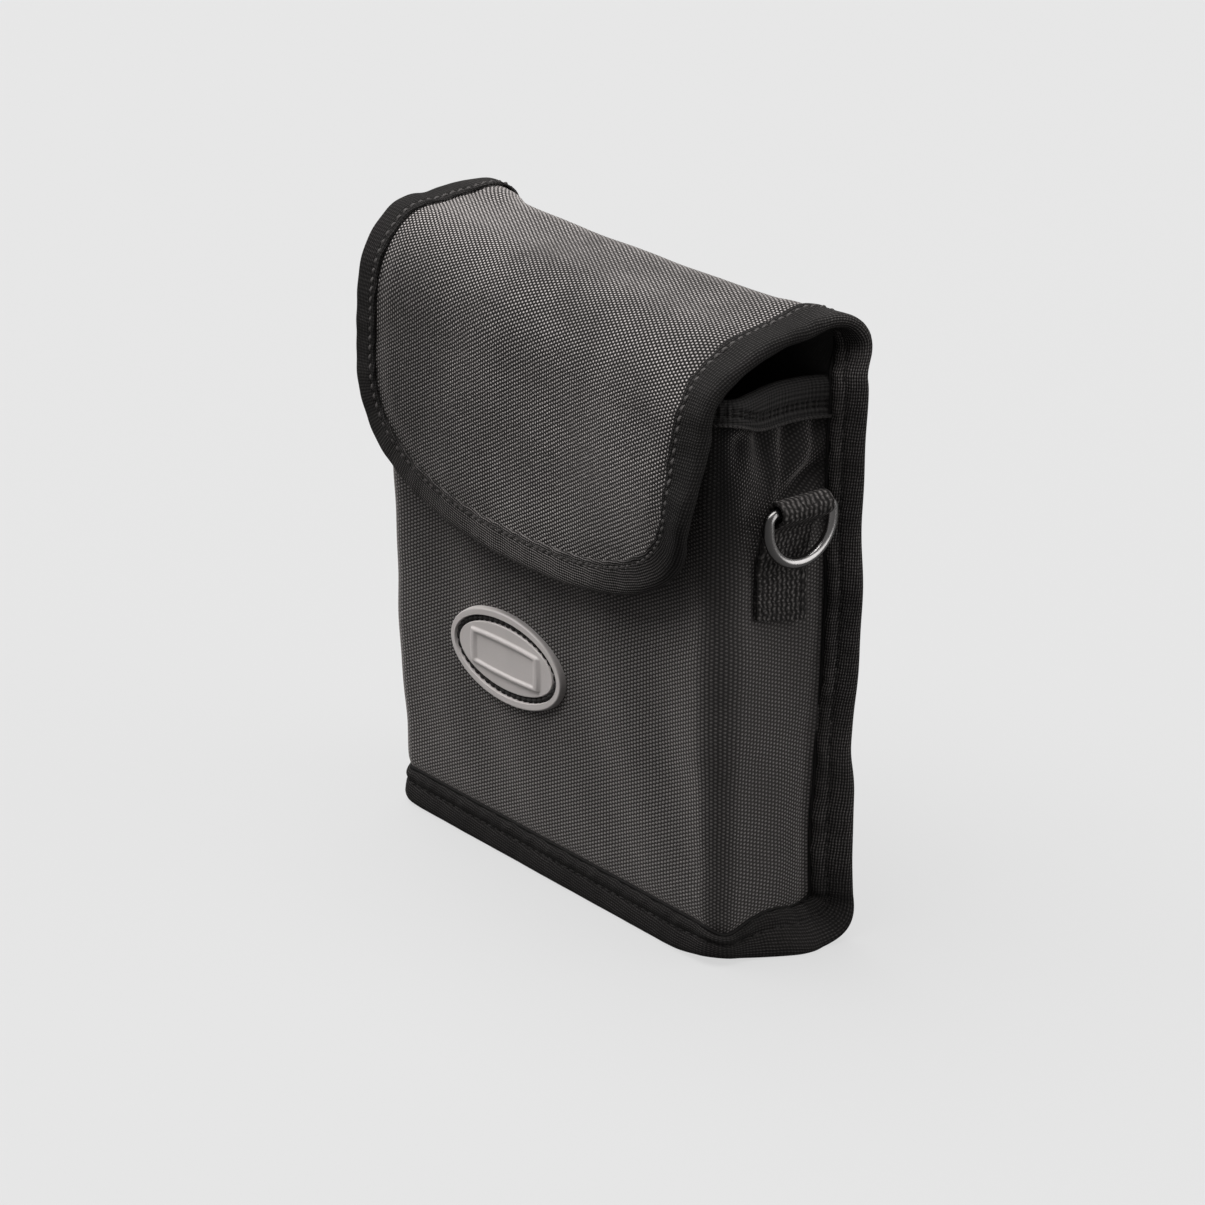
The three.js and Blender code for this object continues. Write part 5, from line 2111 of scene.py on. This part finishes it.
@dataclass
class Badge:
    """A plain oval badge with a raised rim, a sewn groove and a blank raised panel."""

    x: float = -16.9
    z: float = 62.8
    half_width: float = BADGE_HALF[0]
    half_height: float = BADGE_HALF[1]
    thickness: float = 2.6
    edge: float = 0.5
    groove: float = 3.4
    groove_half: float = 0.9
    groove_depth: float = 1.6
    rim_round: float = 0.75
    field_sunk: float = 0.25
    panel_rim: float = 0.75
    panel_sunk: float = 0.6
    thread_sunk: float = 0.55
    turns: int = 160
    stitches: StitchRow = field(default_factory=lambda: StitchRow(2.5, 1.15, 0.95, 0.2))

    def height(self, q: np.ndarray, u: np.ndarray, w: np.ndarray) -> np.ndarray:
        """Height of the face: round rim, groove and a field with a blank raised panel.

        Args:
            q: Distance inside the edge.
            u: Place across, from -1 to 1 over the width.
            w: Place up, from -1 to 1 over the height.

        Returns:
            Height over the back of the badge.
        """
        fall = 1 - np.clip(q / self.rim_round, 0, 1)
        rim = self.thickness * np.sqrt(np.clip(1 - fall ** 2, 0, 1))
        near = np.abs(q - self.groove) - self.groove_half
        dip = self.groove_depth * smooth(0.2, -0.2, near)
        field_drop = self.field_sunk * smooth(self.groove, self.groove + 1.0, q)
        edge = np.minimum(0.62 - np.abs(u) - 0.1 * w ** 2, (0.42 - 0.12 * u ** 2) - np.abs(w))
        panel = self.panel_rim * smooth(-0.01, 0.03, edge)
        panel = panel - self.panel_sunk * smooth(0.08, 0.11, edge)
        inside = smooth(self.groove + 1.1, self.groove + 1.7, q)
        return rim - dip - field_drop + panel * inside

    def build(self) -> None:
        """Rings from the back edge over the rim to the middle, and the thread in the groove."""
        q = np.concatenate([[0.0, 0.0], np.linspace(0.05, 1.2, 8), np.linspace(1.6, 6.2, 40)])
        centre = np.linspace(1, 0.02, 34)[1:]
        angle = FULL_TURN * np.arange(self.turns + 1) / self.turns
        a = np.concatenate([self.half_width - q, (self.half_width - q[-1]) * centre])
        b = np.concatenate([self.half_height - q, (self.half_height - q[-1]) * centre])
        inside = np.concatenate([q, q[-1] + (1 - centre) * (self.half_height - q[-1])])
        x, z = a[:, None] * np.cos(angle), b[:, None] * np.sin(angle)
        high = self.height(inside[:, None], x / self.half_width, z / self.half_height)
        high[:2] = [[0.0], [self.edge]]
        grid = stack(self.x + x, FRONT_Y - high, self.z + z)
        solid = Solid()
        numbers = solid.add_points(grid[:, :-1])
        flat = stack(x, z)
        solid.add_grid(numbers, flat, (False, True))
        solid.add_faces(numbers[:1], flat[None, 0, :-1])
        solid.add_faces(numbers[-1:, ::-1], flat[None, -1, -2::-1])
        place(RUBBER.dress(solid.build("badge_plate", 70.0)), BODY, "badge")
        self.build_thread()

    def build_thread(self) -> None:
        """Stitches round the bottom of the groove."""
        angle = np.linspace(0, FULL_TURN, 240, endpoint=False)
        reach_x, reach_z = self.half_width - self.groove, self.half_height - self.groove
        y = np.full_like(angle, FRONT_Y - self.thickness + self.thread_sunk)
        line = stack(self.x + reach_x * np.cos(angle), y, self.z + reach_z * np.sin(angle))
        out = np.broadcast_to(np.array([0.0, -1.0, 0.0]), line.shape)
        seams = Solid()
        self.stitches.add(seams, line, out, closed=True)
        place(THREAD.dress(seams.build("badge_stitches")), BODY)


@dataclass
class Closure:
    """The two patches of the hook-and-loop closure, under the flap."""

    half_width: float = 30.0
    low: float = 110.0
    high: float = 132.0
    hook_y: float = -24.6

    def grid(self) -> tuple[np.ndarray, np.ndarray, np.ndarray]:
        """Grid of a patch with rounded corners, and its tangle of loops.

        Returns:
            Places across, heights and the height of the pile at each place.
        """
        u = np.linspace(-1, 1, 110)[:, None]
        w = np.linspace(-1, 1, 46)[None, :]
        cut = 0.02 * np.maximum(np.abs(w) - 0.8, 0) ** 2 / 0.04
        across, up = u * self.half_width * (1 - cut), self.middle + w * self.half_height
        x, z = np.broadcast_arrays(across, up)
        wild = ripple(x * 1.7 + z, (1.3, 0.5, 0.2), (1.9, 0.5, 1.2))
        wild = wild * ripple(z * 2.1 - x, (1.5, 0.6, 0.4))
        inside = self.half_height - np.abs(z - self.middle)
        edge = smooth(0, 1.0, np.minimum(self.half_width - np.abs(x), inside))
        return x, z, edge * (0.9 + 0.35 * wild)

    @property
    def middle(self) -> float:
        """Height of the middle of the patches."""
        return (self.low + self.high) / 2

    @property
    def half_height(self) -> float:
        """Half the height of the patches."""
        return (self.high - self.low) / 2

    def build(self) -> None:
        """The loop patch on the case and the hook patch on the flap."""
        x, z, pile = self.grid()
        flat = stack(x, z)
        faces = [FORM.wrap_point(x, z, d) for d in (-0.25 - 0.75 * pile, np.full_like(x, 0.1))]
        loops = LOOP_PILE.dress(Solid().add_slab(*faces, flat).build("loop_pile_patch"))
        place(loops, BODY, "loop_patch")
        base = np.full_like(x, self.hook_y)
        faces = [FORM.settle(stack(x, y, z), 1.0) for y in (base + 0.5 + 0.75 * pile, base)]
        hooks = HOOK_PILE.dress(Solid().add_slab(*faces, flat).build("hook_pile_patch"))
        place(hooks, FLAP, "hook_patch")


@dataclass
class BeltLoop:
    """A wide loop of webbing on the back that a belt passes through."""

    half: float = 19.0
    low: float = 55.5
    high: float = 139.5
    foot: float = 11.0
    rise: float = 7.0
    thick: float = 1.3
    outer_y: float = 27.0
    gap: float = 0.1
    stitch_inset: float = 2.0
    stitches: StitchRow = field(default_factory=lambda: StitchRow(2.6, radius=0.32, bulge=0.3))

    def lift(self, z: np.ndarray) -> np.ndarray:
        """Distance of the inner face from the back: flat at the feet, bowed out between them.

        Args:
            z: Heights.

        Returns:
            The distances.
        """
        up = smooth(self.low + self.foot, self.low + self.foot + self.rise, z)
        down = smooth(self.high - self.foot, self.high - self.foot - self.rise, z)
        return self.gap + (self.outer_y - self.thick - BACK_Y - self.gap) * up * down

    def build(self) -> None:
        """The bowed strip and the stitches of its feet."""
        x = np.linspace(-self.half, self.half, 40)[:, None]
        z = np.linspace(self.low, self.high, 130)[None, :]
        x, z = np.broadcast_arrays(x, z)
        inner = BACK_Y + self.lift(z) + 0.12 * ripple(z, (33, 1.0, 0.2))
        edge = smooth(0, 0.8, self.half - np.abs(x))
        outer = inner + self.thick * (0.6 + 0.4 * edge)
        solid = Solid().add_slab(stack(x, outer, z), stack(x, inner, z), stack(x, z))
        place(WEBBING.dress(solid.build("belt_loop_webbing")), BODY, "belt_loop")
        seams = Solid()
        t, inset = np.linspace(-1, 1, 60), self.stitch_inset
        out = np.broadcast_to(np.array([0.0, 1.0, 0.0]), (len(t), 3))
        feet = ((self.low, self.low + self.foot), (self.high - self.foot, self.high))
        for level in (end + way for foot in feet for end, way in zip(foot, (inset, -inset))):
            line = stack(t * (self.half - inset), BACK_Y + self.thick + 0.2, level)
            self.stitches.add(seams, line, out)
        place(THREAD.dress(seams.build("belt_loop_stitches")), BODY)


LAMPS = (("top_lamp", (-0.25, -0.15, 1.0), 70.0, 6.8),
         ("left_lamp", (-0.75, -0.65, 0.35), 60.0, 0.8),
         ("back_lamp", (0.8, 0.55, 0.25), 60.0, 2.0))


@dataclass
class Studio:
    """Pale floor, soft lamps and the camera at the photograph's view.

    The floor throws no light back on the case, so that its corners and hollows stay dark.
    """

    camera_at: tuple[float, float, float] = (0.77083, -0.61562, 0.46832)
    forward: tuple[float, float, float] = (-0.7272, 0.5804, -0.3665)
    lens: float = 113.2
    sensor: float = 36.0
    world: float = 0.25
    floor_reach: float = 6.0

    def build_camera(self) -> None:
        """Camera with its upright along Z and no shift."""
        data = bpy.data.cameras.new("photo_camera")
        data.lens, data.sensor_width = self.lens, self.sensor
        data.clip_start, data.clip_end = 0.01, 50.0
        camera = put("photo_camera", data)
        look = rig.Vector(self.forward).to_track_quat("-Z", "Y")
        camera.location, camera.rotation_euler = self.camera_at, look.to_euler()
        bpy.context.scene.camera = camera

    def lamp(self, name: str, way: tuple, spread: float, power: float) -> None:
        """A far lamp with a wide soft face, so that the floor is lit evenly.

        Args:
            name: Name of the lamp.
            way: Direction from the case to the lamp.
            spread: Angle in degrees under which the lamp's face is seen.
            power: Strength of the light.
        """
        data = bpy.data.lights.new(name, "SUN")
        data.angle, data.energy = math.radians(spread), power
        way_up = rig.Vector(way).to_track_quat("Z", "Y")
        put(name, data).rotation_euler = way_up.to_euler()

    def build(self) -> None:
        """Floor, sky and lamps."""
        mesh = bpy.data.meshes.new("floor")
        r = self.floor_reach
        corners = [(-r, -r, 0), (r, -r, 0), (r, r, 0), (-r, r, 0)]
        mesh.from_pydata(corners, [], [(0, 1, 2, 3)])
        floor = put("floor", mesh)
        FloorPaint("floor", "").dress(floor)
        floor.visible_diffuse = floor.visible_glossy = False
        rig.stage(floor)
        sky = bpy.data.worlds.new("studio_sky")
        sky.use_nodes = True
        background = sky.node_tree.nodes["Background"]
        background.inputs[0].default_value = (1.0, 1.0, 1.0, 1.0)
        background.inputs[1].default_value = self.world
        bpy.context.scene.world = sky
        for lamp in LAMPS:
            self.lamp(*lamp)
        bpy.context.scene.view_settings.view_transform = "Standard"


def main() -> None:
    """Builds the studio and every piece in order, and writes the two boxes."""
    logging.basicConfig(level=logging.INFO, format="%(name)s %(message)s", stream=sys.stdout)
    studio = Studio()
    studio.build_camera()
    studio.build()
    WrapPanel().build()
    Strip().build()
    EdgeTape().build()
    MouthHem().build()
    for side in Side:
        RingTab(side).build()
        DRing(side).build()
    Badge().build()
    Closure().build()
    BeltLoop().build()
    STIFFENER.dress(frame["nodes"]["bottom_board"])
    dressed = [list(corner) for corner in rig.bounds()]
    with open(SIZE_FILE, "w", encoding="utf-8") as file:
        json.dump({"cad": CAD_BOX, "visual": dressed}, file)


if __name__ == "__main__":
    main()
